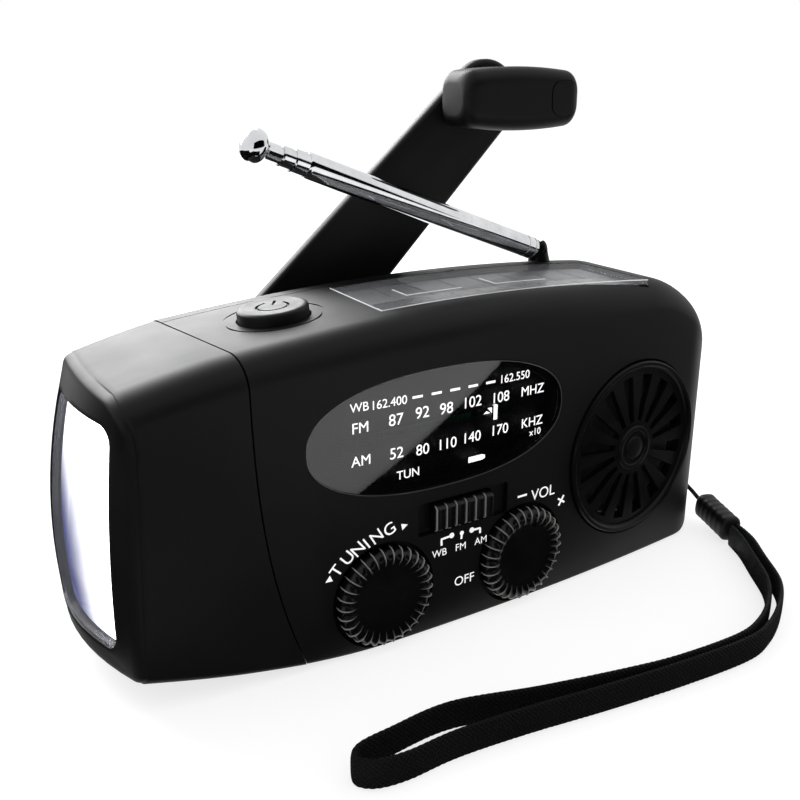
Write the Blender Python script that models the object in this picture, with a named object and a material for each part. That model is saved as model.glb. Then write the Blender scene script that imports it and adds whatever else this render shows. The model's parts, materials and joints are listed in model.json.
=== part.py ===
"""Wind-up emergency radio, built as separate named pieces in Blender 4.5.

X runs along the body with the lamp at -X, the dial faces -Y and the crank is behind at +Y.
The origin is the middle of the body's underside. Lengths are metres, angles are radians.
"""

from math import atan2, cos, pi, radians, sin, sqrt, tau

import bmesh
import bpy
from mathutils import Matrix, Vector

# Body
BODY_LENGTH = 0.140
BODY_DEPTH = 0.040
BODY_HEIGHT = 0.0618
WALL = 0.0022
SEAT_GAP = 0.0003
OVERRUN = 0.003
FRONT_ARC_RADIUS = 0.590
FRONT_APEX_X = -0.3414 * BODY_LENGTH
TOP_ARCH_RADIUS = 0.440
TOP_ARCH_X = 0.107 * BODY_LENGTH
EDGE_FRONT_TOP = 0.0062
EDGE_FRONT_BOTTOM = 0.0010
EDGE_REAR_TOP = 0.0044
EDGE_REAR_BOTTOM = 0.004
END_TOP_RADIUS = 0.0235
END_FRONT_RADIUS = 0.0100
END_REAR_RADIUS = 0.007
END_BOTTOM_RADIUS = 0.0080
EDGE_LIMIT_SHARE = 0.45
CORNER_STEPS = 4
TOP_STEPS = 1
BODY_STEPS = 8
END_STEPS = 7
SEAM_STEPS = 7
SEAM_MARGIN_SHARE = 0.2
HEAD_SIDE_STEPS = 3
PARTING_INSET = 0.0065
PARTING_Y = BODY_DEPTH / 2 - PARTING_INSET

# Seam between lamp head and housing, and the domed lamp end
SEAM_X = -0.3036 * BODY_LENGTH
SEAM_LEAN = 0.0086
SEAM_SLANT = 0.0058
END_CORNER_X = -0.4429 * BODY_LENGTH
END_BULGE = 0.0083
END_LEAN = 0.0026
BULGE_MIDDLE_Y = 0.1625 * BODY_DEPTH
BULGE_HALF_DEPTH = 0.6625 * BODY_DEPTH
BULGE_MIDDLE_Z = 0.024
BULGE_HALF_HEIGHT = 0.040
HEAD_TOP_DROP = 0.0019
BOTTOM_RISE = 0.0061
BOTTOM_RISE_X = -0.143 * BODY_LENGTH
BOTTOM_RISE_RUN = 0.314 * BODY_LENGTH
BOTTOM_RISE_CURVE_SHARE = 1.6
HEAD_SIDE_TAPER = 0.0008
HEAD_EDGE = 0.0026
HEAD_TAPER_START_SHARE = 0.42
HEAD_STEP_SHARES = (0.0, 0.42, 0.62, 0.78, 0.9)
HEAD_END_SHARES = ((0.95, 0.12), (0.985, 0.42), (1.0, 1.0))

# Lamp window, lens, reflector and light source
WINDOW_FRONT_Y = -0.3625 * BODY_DEPTH
WINDOW_REAR_Y = 0.3125 * BODY_DEPTH
WINDOW_BOTTOM_Z = 0.0100
WINDOW_TOP_Z = 0.0485
WINDOW_CORNER = 0.0030
LENS_ROWS = 10
LENS_COLUMNS = 6
LENS_SQUARE_SHARE = 0.5
LENS_INSET = 0.0004
LENS_THICKNESS = 0.0012
REFLECTOR_WALL = 0.0009
REFLECTOR_BACK_X = -0.4 * BODY_LENGTH
REFLECTOR_SHRINK = 0.0050
LAMP_BOARD_THICKNESS = 0.0014
LED_COUNT = 3
LED_RADIUS = 0.0025
LED_HEIGHT = 0.0055
LED_PITCH = 0.0105

# Dial
DIAL_X = -0.0436 * BODY_LENGTH
DIAL_Z = 0.0405
DIAL_HALF_WIDTH = 0.0273
DIAL_HALF_HEIGHT = 0.0112
DIAL_LEDGE = 0.0014
DIAL_LENS_SINK = 0.0002
DIAL_LENS_THICKNESS = 0.0009
DIAL_PLATE_THICKNESS = 0.0008
DIAL_PLATE_INSET = 0.0003
DIAL_COLUMNS = 16
POINTER_X = 0.0429 * BODY_LENGTH
POINTER_Z = 0.0406
POINTER_WIDTH = 0.0009
POINTER_HEIGHT = 0.0028
POINTER_THICKNESS = 0.0005
POINTER_SLOT_HEIGHT = 0.0014
POINTER_SLOT_LEFT_REACH = 0.0144
POINTER_SLOT_RIGHT_REACH = 0.0171
CARRIAGE_WIDTH = 0.0050
CARRIAGE_HEIGHT = 0.0040
CARRIAGE_DEPTH = 0.0020

# Rotary knobs
TUNING_X = -0.135 * BODY_LENGTH
VOLUME_X = 0.0879 * BODY_LENGTH
DIAL_KNOB_Z = 0.0107
DIAL_KNOB_RADIUS = 0.0097
DIAL_KNOB_RECESS_RADIUS = 0.0103
DIAL_KNOB_RECESS_DEPTH = 0.0014
DIAL_KNOB_PROUD = 0.0022
DIAL_KNOB_FACE_RADIUS = 0.0064
DIAL_KNOB_FACE_SINK = 0.0006
DIAL_KNOB_BEVEL = 0.0015
DIAL_KNOB_FLUTES = 30
DIAL_KNOB_FLUTE_DEPTH = 0.0004
DIAL_KNOB_STEM_RADIUS = 0.0025
DIAL_KNOB_STEM_LENGTH = 0.0045
CONTROL_BODY_SIZE = 0.0130
CONTROL_BODY_DEPTH = 0.0060

# Band switch
BAND_X = -0.0121 * BODY_LENGTH
BAND_Z = 0.0235
BAND_RECESS_WIDTH = 0.0203
BAND_RECESS_HEIGHT = 0.0064
BAND_RECESS_DEPTH = 0.0012
SLIDER_WIDTH = 0.0131
SLIDER_HEIGHT = 0.0052
SLIDER_PROUD = 0.0010
SLIDER_RIBS = 6
SLIDER_RIB_HEIGHT = 0.0005
SLIDER_OFFSET = -0.0006
SLIDER_STEM_WIDTH = 0.0040
SLIDER_STEM_HEIGHT = 0.0020
BAND_SLOT_WIDTH = 0.0115
BAND_SLOT_HEIGHT = 0.0028
BAND_TRAVEL = 0.0028
BAND_BODY_WIDTH = 0.0180
BAND_BODY_HEIGHT = 0.0070

# Speaker
SPEAKER_X = 0.3079 * BODY_LENGTH
SPEAKER_Z = 0.0258
SPEAKER_RADIUS = 0.0187
SPEAKER_RIM_WIDTH = 0.0012
SPEAKER_RIM_PROUD = 0.0005
GRILLE_THICKNESS = 0.0014
GRILLE_SLOTS = 16
GRILLE_SLOT_INNER = 0.0060
GRILLE_SLOT_OUTER = 0.0158
GRILLE_SLOT_INNER_WIDTH = 0.0010
GRILLE_SLOT_OUTER_WIDTH = 0.0030
GRILLE_HUB_RADIUS = 0.0044
GRILLE_HUB_PROUD = 0.0004
GRILLE_BUTTON_RADIUS = 0.0020
SPEAKER_FRAME_RADIUS = 0.0172
SPEAKER_FRAME_DEPTH = 0.1375 * BODY_DEPTH
SPEAKER_FRAME_WALL = 0.0008
SPEAKER_CONE_DEPTH = 0.1 * BODY_DEPTH
SPEAKER_MAGNET_RADIUS = 0.0085
SPEAKER_MAGNET_DEPTH = 0.12 * BODY_DEPTH

# Power button
BUTTON_X = -0.2193 * BODY_LENGTH
BUTTON_Y = 0.0
BUTTON_RADIUS = 0.0064
BUTTON_PROUD = 0.0021
BUTTON_RING_RADIUS = 0.0094
BUTTON_RING_WIDTH = 0.0006
BUTTON_RING_DEPTH = 0.0005
BUTTON_STEM_RADIUS = 0.0022
BUTTON_STEM_LENGTH = 0.0050
BUTTON_FLANGE = 0.0009
BUTTON_TRAVEL = 0.0008
BUTTON_SKIRT = 0.0012
POWER_SWITCH_SIZE = 0.0062
POWER_SWITCH_HEIGHT = 0.0035
POWER_BOARD_WIDTH = 0.0240
POWER_BOARD_DEPTH = 0.0100
POWER_BOARD_THICKNESS = 0.0012

# Solar panel
SOLAR_LEFT_X = -0.1043 * BODY_LENGTH
SOLAR_RIGHT_X = 0.3271 * BODY_LENGTH
SOLAR_FRONT_Y = -0.255 * BODY_DEPTH
SOLAR_REAR_Y = 0.3 * BODY_DEPTH
SOLAR_POCKET_DEPTH = 0.0019
SOLAR_COVER_THICKNESS = 0.0010
SOLAR_CELL_THICKNESS = 0.0004
SOLAR_CELL_BORDER = 0.0012
SOLAR_CELL_COUNT = 8
SOLAR_CELL_SPLIT = 0.0004
SOLAR_STEPS = 6
SOLAR_TRAY_THICKNESS = 0.0012

# Inner boards and parts
BOARD_LEFT_X = -0.2464 * BODY_LENGTH
BOARD_RIGHT_X = 0.1679 * BODY_LENGTH
BOARD_BOTTOM_Z = 0.0036
BOARD_TOP_Z = 0.0540
BOARD_FRONT_Y = -0.1875 * BODY_DEPTH
BOARD_THICKNESS = 0.0016
BOARD_POST_RADIUS = 0.0020
BOARD_POST_LEFT_X = -0.225 * BODY_LENGTH
BOARD_POST_RIGHT_X = 0.1464 * BODY_LENGTH
BOARD_POST_LOW_Z = 0.0240
BOARD_POST_HIGH_Z = 0.0515
BATTERY_RADIUS = 0.175 * BODY_DEPTH
BATTERY_LENGTH = 0.325 * BODY_LENGTH
BATTERY_X = 0.2214 * BODY_LENGTH
BATTERY_Y = 0.25 * BODY_DEPTH
BATTERY_TERMINAL_RADIUS = 0.0025
BATTERY_TERMINAL_LENGTH = 0.0010
FERRITE_RADIUS = 0.0035
FERRITE_LENGTH = 0.0500
FERRITE_X = 0.1143 * BODY_LENGTH
FERRITE_Y = 0.025 * BODY_DEPTH
COIL_THICKNESS = 0.0012
COIL_LENGTH = 0.0160

# Crank
CRANK_PIVOT_X = -0.2514 * BODY_LENGTH
CRANK_PIVOT_Z = 0.0350
CRANK_ANGLE = radians(44.6)
CRANK_LENGTH = 0.6157 * BODY_LENGTH
CRANK_ARM_GAP = 0.0008
CRANK_ARM_FRONT_Y = BODY_DEPTH / 2 + CRANK_ARM_GAP
CRANK_ARM_THICKNESS = 0.0034
CRANK_ROOT_HALF_WIDTH = 0.0105
CRANK_TIP_RADIUS = 0.0078
CRANK_ROOT_START = 0.0046
CRANK_BEVEL = 0.0006
HUB_RADIUS = 0.0100
HUB_FACE_PROUD = 0.0004
HUB_FLANGE = 0.0018
HUB_SHAFT_RADIUS = 0.0030
KNUCKLE_RADIUS = 0.0031
KNUCKLE_HALF_WIDTH = 0.0055
LUG_WIDTH = 0.0024
LUG_GAP = 0.0003
FLIP_PIN_RADIUS = 0.0011
FLIP_PIN_GAP = 0.0002
GRIP_LENGTH = 0.0275
GRIP_OFFSET = 0.0018
GRIP_HEIGHT = 0.0124
GRIP_END_HEIGHT = 0.0104
GRIP_DEPTH = 0.0112
GRIP_GAP = 0.0004
GRIP_EDGE = 0.0026
GRIP_RIVET_RADIUS = 0.0018
GRIP_RIVET_HEAD = 0.0040
GRIP_RIVET_GAP = 0.0003
GRIP_RIVET_DEPTH = 0.0080
GRIP_RIVET_HEAD_HEIGHT = 0.0006
STOW_POCKET_CLEARANCE = 0.0012

# Gear train and dynamo
GEAR_MODULE = 0.0008
CRANK_GEAR_TEETH = 36
IDLER_PINION_TEETH = 12
IDLER_WHEEL_TEETH = 30
ROTOR_PINION_TEETH = 10
GEAR_THICKNESS = 0.0024
GEAR_BACKLASH_SHARE = 0.13
GEAR_REAR_INSET = 0.0034
GEAR_REAR_Y = BODY_DEPTH / 2 - GEAR_REAR_INSET
GEAR_ADDENDUM_SHARE = 0.7
GEAR_FLANK_SHARE = 0.4
GEAR_LAYER_GAP = 0.0008
IDLER_ANGLE = radians(-14)
ROTOR_ANGLE = radians(-26)
AXLE_RADIUS = 0.0012
AXLE_GAP = 0.00025
GEAR_PLATE_THICKNESS = 0.0012
GEAR_PLATE_MARGIN = 0.0040
GEAR_POST_RADIUS = 0.0022
GEAR_POST_SHARES = ((-0.1429, 0.81), (-0.1429, 0.2265), (0.0393, 0.5825))
DYNAMO_RADIUS = 0.0105
DYNAMO_LENGTH = 0.275 * BODY_DEPTH
DYNAMO_WALL = 0.0010
DYNAMO_MAGNET_RADIUS = 0.0085
ROTOR_HOLE_RADIUS = 0.0018

# Antenna
ANTENNA_X = 0.2718 * BODY_LENGTH
ANTENNA_Y = 0.415 * BODY_DEPTH
ANTENNA_PIN_HEIGHT = 0.00265
ANTENNA_TURN = radians(190.65)
ANTENNA_RISE = radians(19.54)
ANTENNA_BALL_REACH = 0.0752
ANTENNA_TUBE_RADIUS = 0.0024
ANTENNA_TUBE_WALL = 0.00016
ANTENNA_SLIDE_GAP = 0.00010
ANTENNA_STUB_LENGTHS = (0.0029, 0.0025, 0.0029)
ANTENNA_SECTION_BOTTOM = 0.0120
ANTENNA_OVERLAP = 0.0080
ANTENNA_TONGUE_WIDTH = 0.0014
ANTENNA_TONGUE_HALF_HEIGHT = 0.0015
ANTENNA_TUBE_START = 0.0023
ANTENNA_COLLAR = 0.0040
ANTENNA_GROOVE_REACHES = (0.0036, 0.0058)
ANTENNA_BALL_RADIUS = 0.0031
ANTENNA_BALL_HALF_LENGTH = 0.0023
ANTENNA_FOOT_RADIUS = 0.0024
ANTENNA_POST_RADIUS = 0.0019
ANTENNA_POST_CROWN = 0.0028
ANTENNA_DOME_SHARES = ((0.87, 0.5), (0.5, 0.87))
ANTENNA_STEM_RADIUS = 0.0017
ANTENNA_STEM_LENGTH = 0.0060
ANTENNA_SEAT_RADIUS = ANTENNA_FOOT_RADIUS + SEAT_GAP
ANTENNA_SEAT_SINK = 0.0006
ANTENNA_SEAT_DEPTH = 0.0060
ANTENNA_PIN_RADIUS = 0.0006
ANTENNA_PIN_GAP = 0.0002
ANTENNA_SLOT_GAP = 0.0002

# Charging port
PORT_X = -0.0607 * BODY_LENGTH
PORT_Z = 0.0105
PORT_WIDTH = 0.0160
PORT_HEIGHT = 0.0080
PORT_COVER_DEPTH = 0.0014
PORT_HINGE_RADIUS = 0.0007
SOCKET_WIDTH = 0.0082
SOCKET_HEIGHT = 0.0032
SOCKET_DEPTH = 0.0056
SOCKET_WALL = 0.0004

# Screws
SCREW_RADIUS = 0.0011
SCREW_HEAD_RADIUS = 0.0022
SCREW_HEAD_HEIGHT = 0.0012
SCREW_BOSS_RADIUS = 0.0028
SCREW_BOSS_LENGTH = 0.0050
SCREW_RIB_WIDTH = 0.0016
SCREW_SINK = 0.0030
SCREW_GRIP = 0.0040
SCREW_GAP = 0.0002
SCREW_SHARES = ((-0.2429, 0.862), (0.4129, 0.796), (-0.1714, 0.1133), (0.4107, 0.1262))

# Wrist strap
STRAP_WIDTH = 0.0050
STRAP_THICKNESS = 0.0011
STRAP_FLOOR_GAP = 0.0003
STRAP_TAB_LENGTH = 0.0130
STRAP_TAB_WIDTH = 0.0058
STRAP_TAB_HEIGHT = 0.0058
STRAP_TAB_EDGE = 0.0012
STRAP_TAB_END = (0.0683, -0.0194, 0.0033)
STRAP_TAB_START = (0.0715, -0.0066, 0.0046)
STRING_RADIUS = 0.0005
STRAP_POST_Y = 0.0060
STRAP_POST_Z = 0.0090
STRAP_POST_RADIUS = 0.0009
STRAP_NOTCH_WIDTH = 0.0060
STRAP_NOTCH_HEIGHT = 0.0052
STRAP_NOTCH_DEPTH = 0.0050
STRAP_ROUTE = (
    (0.0688, -0.0199), (0.0668, -0.0260), (0.0628, -0.0328), (0.0572, -0.0420), (0.0506, -0.0478),
    (0.0433, -0.0520), (0.0360, -0.0541), (0.0217, -0.0543), (0.0049, -0.0535), (-0.0102, -0.0523),
    (-0.0230, -0.0519), (-0.0320, -0.0527), (-0.0371, -0.0521), (-0.0394, -0.0500), (-0.0377, -0.0478),
    (-0.0320, -0.0467), (-0.0204, -0.0455), (-0.0053, -0.0488), (0.0111, -0.0516), (0.0217, -0.0527),
    (0.0350, -0.0525), (0.0424, -0.0504), (0.0494, -0.0462), (0.0556, -0.0404), (0.0610, -0.0317),
    (0.0650, -0.0250), (0.0672, -0.0199),
)
STRAP_STEPS_PER_POINT = 3

# Round shapes
ROUND_SEGMENTS = 16
LARGE_ROUND_SEGMENTS = 28
SMALL_ROUND_SEGMENTS = 8

FINISHES = {
    "soft_black": ((0.012, 0.012, 0.013), 0.55, 0.0),
    "gloss_black": ((0.006, 0.006, 0.007), 0.12, 0.0),
    "knob_black": ((0.010, 0.010, 0.011), 0.35, 0.0),
    "rubber": ((0.010, 0.010, 0.011), 0.80, 0.0),
    "chrome": ((0.85, 0.85, 0.87), 0.10, 1.0),
    "steel": ((0.55, 0.55, 0.56), 0.35, 1.0),
    "brass": ((0.70, 0.52, 0.25), 0.35, 1.0),
    "clear": ((0.80, 0.83, 0.88), 0.05, 0.0),
    "lamp_white": ((0.95, 0.96, 1.00), 0.20, 0.0),
    "smoke": ((0.030, 0.030, 0.034), 0.08, 0.0),
    "cell": ((0.050, 0.032, 0.050), 0.25, 0.0),
    "white": ((0.85, 0.85, 0.85), 0.50, 0.0),
    "board_green": ((0.02, 0.11, 0.05), 0.55, 0.0),
    "part_grey": ((0.12, 0.12, 0.13), 0.50, 0.0),
    "gear_ivory": ((0.70, 0.68, 0.60), 0.45, 0.0),
    "copper": ((0.62, 0.30, 0.16), 0.40, 1.0),
    "paper": ((0.030, 0.028, 0.026), 0.90, 0.0),
    "cell_wrap": ((0.05, 0.14, 0.32), 0.35, 0.0),
    "webbing": ((0.010, 0.010, 0.012), 0.85, 0.0),
}


# Scene and material helpers
def clear_scene():
    for item in list(bpy.data.objects):
        bpy.data.objects.remove(item, do_unlink=True)


def finish(name):
    """The Principled material called name, made on first use."""
    material = bpy.data.materials.get(name)
    if material is None:
        colour, roughness, metallic = FINISHES[name]
        material = bpy.data.materials.new(name)
        material.use_nodes = True
        shader = material.node_tree.nodes["Principled BSDF"]
        shader.inputs["Base Color"].default_value = (*colour, 1.0)
        shader.inputs["Roughness"].default_value = roughness
        shader.inputs["Metallic"].default_value = metallic
    return material


def add_object(name, mesh_data, finish_name, frame=None):
    """Link an object that holds the bmesh, placed by its own frame matrix."""
    bmesh.ops.recalc_face_normals(mesh_data, faces=mesh_data.faces)
    mesh = bpy.data.meshes.new(name)
    mesh_data.to_mesh(mesh)
    mesh_data.free()
    item = bpy.data.objects.new(name, mesh)
    bpy.context.scene.collection.objects.link(item)
    item.data.materials.append(finish(finish_name))
    if frame is not None:
        item.matrix_world = frame
    return item


def attach(child, parent):
    """Parent child to parent and keep its place."""
    bpy.context.view_layer.update()
    child.parent = parent
    child.matrix_parent_inverse = parent.matrix_world.inverted()


def boolean(item, tool, operation):
    """Combine item with a hidden tool object."""
    tool.hide_render = True
    tool.display_type = "WIRE"
    modifier = item.modifiers.new(tool.name, "BOOLEAN")
    modifier.object = tool
    modifier.operation = operation
    modifier.solver = "EXACT"
    return item


def cut(item, tool):
    return boolean(item, tool, "DIFFERENCE")


def join(item, tool):
    return boolean(item, tool, "UNION")


def keep_inside(item, tool):
    return boolean(item, tool, "INTERSECT")


def soften(item, width, segments=2, angle=radians(35)):
    """Bevel the sharp edges of item."""
    modifier = item.modifiers.new("edge", "BEVEL")
    modifier.width = width
    modifier.segments = segments
    modifier.limit_method = "ANGLE"
    modifier.angle_limit = angle
    return item


# Shape helpers
def skin(rings, start_cap=True, end_cap=True, closed=False):
    """A closed surface over rings of points; closed joins the last ring to the first."""
    mesh_data = bmesh.new()
    loops = [[mesh_data.verts.new(point) for point in ring] for ring in rings]
    pairs = list(zip(loops, loops[1:]))
    if closed:
        pairs.append((loops[-1], loops[0]))
    for first, second in pairs:
        count = len(first)
        for i in range(count):
            j = (i + 1) % count
            mesh_data.faces.new((first[i], first[j], second[j], second[i]))
    if start_cap and not closed:
        mesh_data.faces.new(loops[0])
    if end_cap and not closed:
        mesh_data.faces.new(loops[-1])
    return mesh_data


def box_mesh(low, high):
    """A box between two corner points."""
    mesh_data = bmesh.new()
    size = Vector(high) - Vector(low)
    middle = (Vector(high) + Vector(low)) / 2
    bmesh.ops.create_cube(mesh_data, size=1, matrix=Matrix.Translation(middle) @ Matrix.Diagonal((*size, 1)))
    return mesh_data


def centred_box(width, depth, height, middle=(0, 0, 0)):
    half = Vector((width, depth, height)) / 2
    return box_mesh(Vector(middle) - half, Vector(middle) + half)


def prism(outline, low, high):
    """An outline in XY drawn out along Z from low to high."""
    return skin([[Vector((x, y, z)) for x, y in outline] for z in (low, high)])


def circle(radius, segments=ROUND_SEGMENTS, middle=(0, 0)):
    return [(middle[0] + radius * cos(tau * i / segments), middle[1] + radius * sin(tau * i / segments))
            for i in range(segments)]


def lathe(profile, segments=ROUND_SEGMENTS, closed=False):
    """Turn a profile of radius and height about Z; a radius of zero makes a pole."""
    mesh_data = bmesh.new()
    rows = []
    for radius, height in profile:
        if radius == 0:
            rows.append([mesh_data.verts.new((0, 0, height))])
        else:
            rows.append([mesh_data.verts.new((x, y, height)) for x, y in circle(radius, segments)])
    pairs = list(zip(rows, rows[1:]))
    if closed:
        pairs.append((rows[-1], rows[0]))
    for first, second in pairs:
        for i in range(segments):
            j = (i + 1) % segments
            corners = (first[i % len(first)], first[j % len(first)], second[j % len(second)], second[i % len(second)])
            unique = list(dict.fromkeys(corners))
            if len(unique) > 2:
                mesh_data.faces.new(unique)
    if not closed:
        for row in (rows[0], rows[-1]):
            if len(row) > 1:
                mesh_data.faces.new(row)
    return mesh_data


def rod(radius, low, high, segments=ROUND_SEGMENTS):
    return prism(circle(radius, segments), low, high)


def tube(outer, inner, low, high, segments=ROUND_SEGMENTS):
    return lathe([(outer, low), (outer, high), (inner, high), (inner, low)], segments, closed=True)


def axis_frame(origin, axis, side):
    """A frame with Z along axis and X as near side as it can be."""
    z = Vector(axis).normalized()
    y = z.cross(Vector(side)).normalized()
    x = y.cross(z)
    frame = Matrix((x, y, z)).transposed().to_4x4()
    frame.translation = Vector(origin)
    return frame


# Body surfaces
def front_y(x):
    """The front face's depth at x: flat at the lamp end, then an arc."""
    run = max(0, x - FRONT_APEX_X)
    return -BODY_DEPTH / 2 + FRONT_ARC_RADIUS - sqrt(FRONT_ARC_RADIUS ** 2 - run ** 2)


def front_frame(x, z):
    """A frame on the front face: X along the face, Y up, Z straight out."""
    run = max(0, x - FRONT_APEX_X)
    turn = atan2(run, sqrt(FRONT_ARC_RADIUS ** 2 - run ** 2))
    return axis_frame((x, front_y(x), z), (sin(turn), -cos(turn), 0), (1, 0, 0))


def top_drop(x):
    return (x - TOP_ARCH_X) ** 2 / (2 * TOP_ARCH_RADIUS)


def top_z(x):
    """The arched top's height at x."""
    return BODY_HEIGHT - top_drop(x)


def to_arch(x, z):
    """Height z lowered to the arched top: in full at the top, not at all below mid-height."""
    return z - top_drop(x) * max(0, 2 * z / BODY_HEIGHT - 1)


def face_places(shares):
    """Places on the rear face, from shares of the body's length and height."""
    return [(x * BODY_LENGTH, z * BODY_HEIGHT) for x, z in shares]


def plan_bulge(y):
    return 1 - ((y - BULGE_MIDDLE_Y) / BULGE_HALF_DEPTH) ** 2


def seam_x(y, z):
    """The seam surface: slanted in plan, swept toward the dial at the bottom."""
    lean = ((BODY_HEIGHT - z) / BODY_HEIGHT) ** 3
    return SEAM_X + SEAM_LEAN * lean - SEAM_SLANT * (y / BODY_DEPTH + 1 / 2)


def lamp_end_x(y, z):
    """The domed end face of the lamp head."""
    upright = 1 - ((z - BULGE_MIDDLE_Z) / BULGE_HALF_HEIGHT) ** 2
    lean = (2 * z / BODY_HEIGHT - 1) / 2
    return END_CORNER_X + END_LEAN * lean - END_BULGE * plan_bulge(y) * upright


def section(front, rear, bottom, top, edges, side_steps=0):
    """Points in YZ round a rounded section."""
    limit = EDGE_LIMIT_SHARE * min(rear - front, top - bottom)
    front_bottom, rear_bottom, rear_top, front_top = (min(edge, limit) for edge in edges)
    corners = (
        (front + front_bottom, bottom + front_bottom, front_bottom, pi),
        (rear - rear_bottom, bottom + rear_bottom, rear_bottom, 1.5 * pi),
        (rear - rear_top, top - rear_top, rear_top, 0),
        (front + front_top, top - front_top, front_top, 0.5 * pi),
    )
    flats = (side_steps, side_steps, TOP_STEPS, side_steps)
    points = []
    for index, (y, z, radius, start) in enumerate(corners):
        for step in range(CORNER_STEPS + 1):
            angle = start + 0.5 * pi * step / CORNER_STEPS
            points.append((y + radius * cos(angle), z + radius * sin(angle)))
        next_y, next_z, next_radius, turn = corners[(index + 1) % len(corners)]
        following = (next_y + next_radius * cos(turn), next_z + next_radius * sin(turn))
        last = points[-1]
        for step in range(1, flats[index] + 1):
            share = step / (flats[index] + 1)
            points.append((last[0] + (following[0] - last[0]) * share, last[1] + (following[1] - last[1]) * share))
    return points


def body_edges(inset):
    edges = (EDGE_FRONT_BOTTOM, EDGE_REAR_BOTTOM, EDGE_REAR_TOP, EDGE_FRONT_TOP)
    return [max(edge - inset, WALL / 4) for edge in edges]


def end_inset(x, radius, inset):
    """How far a rounded right-hand edge has drawn in at x."""
    radius = radius - inset
    reach = min(1, max(0, (x - (BODY_LENGTH / 2 - inset - radius)) / radius))
    return inset + radius * (1 - sqrt(1 - reach ** 2))


def bottom_rise(x):
    """How far the underside has risen at x towards the lamp end."""
    return BOTTOM_RISE * min(1, max(0, (BOTTOM_RISE_X - x) / BOTTOM_RISE_RUN)) ** BOTTOM_RISE_CURVE_SHARE


def body_section(x, inset):
    return section(
        front_y(x) + end_inset(x, END_FRONT_RADIUS, inset),
        BODY_DEPTH / 2 - end_inset(x, END_REAR_RADIUS, inset),
        end_inset(x, END_BOTTOM_RADIUS, inset) + bottom_rise(x),
        BODY_HEIGHT - end_inset(x, END_TOP_RADIUS, inset),
        body_edges(inset),
    )


def body_rings(inset):
    """Rings from inside the lamp head to the right-hand end, set in from the outer skin by inset."""
    radius = END_TOP_RADIUS - inset
    round_start = BODY_LENGTH / 2 - inset - radius
    first = SEAM_X - 2 * SEAM_SLANT
    run = round_start - first
    places = [first + run * i / BODY_STEPS for i in range(BODY_STEPS + 1)]
    places += [round_start + radius * sin(0.5 * pi * i / END_STEPS) for i in range(1, END_STEPS + 1)]
    return [[Vector((x, y, to_arch(x, z))) for y, z in body_section(x, inset)] for x in places]


def seam_tool(name, offset):
    """A hidden solid that fills the lamp side of the seam surface."""
    far = -BODY_LENGTH
    shares = [(1 + SEAM_MARGIN_SHARE) * (i / SEAM_STEPS - 1 / 2) for i in range(SEAM_STEPS + 1)]
    ys = [BODY_DEPTH * share for share in shares]
    zs = [BODY_HEIGHT * (share + 1 / 2) for share in shares]
    rings = []
    for y in ys:
        ring = [Vector((seam_x(y, z) + offset, y, z)) for z in zs]
        rings.append(ring + [Vector((far, y, zs[-1])), Vector((far, y, zs[0]))])
    return add_object(name, skin(rings), "soft_black")


def housing_shell():
    """The open-ended shell that both housing halves are cut from."""
    return skin(body_rings(WALL)[::-1] + body_rings(0))


# Housing
def front_tool(name, x, z, mesh_data):
    """A hidden tool placed in the front face's own frame."""
    return add_object(name, mesh_data, "soft_black", front_frame(x, z))


def dial_outline(grow):
    """Half heights of the dial's oval, by column, from left to right."""
    half_width = DIAL_HALF_WIDTH + grow
    half_height = DIAL_HALF_HEIGHT + grow
    columns = []
    for i in range(DIAL_COLUMNS + 1):
        across = -cos(pi * (i + 0.35) / (DIAL_COLUMNS + 0.7))
        columns.append((DIAL_X + half_width * across, half_height * sqrt(1 - across ** 2)))
    return columns


def arc_panel(columns, outer, inner):
    """A panel that follows the front arc, between two depths behind the face."""
    rings = []
    for x, half in columns:
        rings.append([
            Vector((x, front_y(x) + outer, DIAL_Z - half)),
            Vector((x, front_y(x) + outer, DIAL_Z + half)),
            Vector((x, front_y(x) + inner, DIAL_Z + half)),
            Vector((x, front_y(x) + inner, DIAL_Z - half)),
        ])
    return skin(rings)


def solar_slab(grow, low, high):
    """A slab that follows the arched top over the solar panel's place, from low to high."""
    left = SOLAR_LEFT_X - grow
    run = SOLAR_RIGHT_X + grow - left
    rings = []
    for i in range(SOLAR_STEPS + 1):
        x = left + run * i / SOLAR_STEPS
        front = SOLAR_FRONT_Y - grow
        rear = SOLAR_REAR_Y + grow
        base = top_z(x)
        rings.append([Vector((x, front, base + low)), Vector((x, rear, base + low)),
                      Vector((x, rear, base + high)), Vector((x, front, base + high))])
    return skin(rings)


def button_frame():
    """The power button's frame, Z out of the top at the button."""
    slope = (BUTTON_X - TOP_ARCH_X) / TOP_ARCH_RADIUS
    return axis_frame((BUTTON_X, BUTTON_Y, top_z(BUTTON_X)), (slope, 0, 1), (1, 0, 0))


def half_space(name, front, rear):
    reach = BODY_LENGTH
    return add_object(name, box_mesh((-reach, front, -reach), (reach, rear, reach)), "soft_black")


def rear_axis_frame(x, z, y=0):
    """A frame whose Z points out of the rear."""
    return axis_frame((x, y, z), (0, 1, 0), (1, 0, 0))


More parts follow.
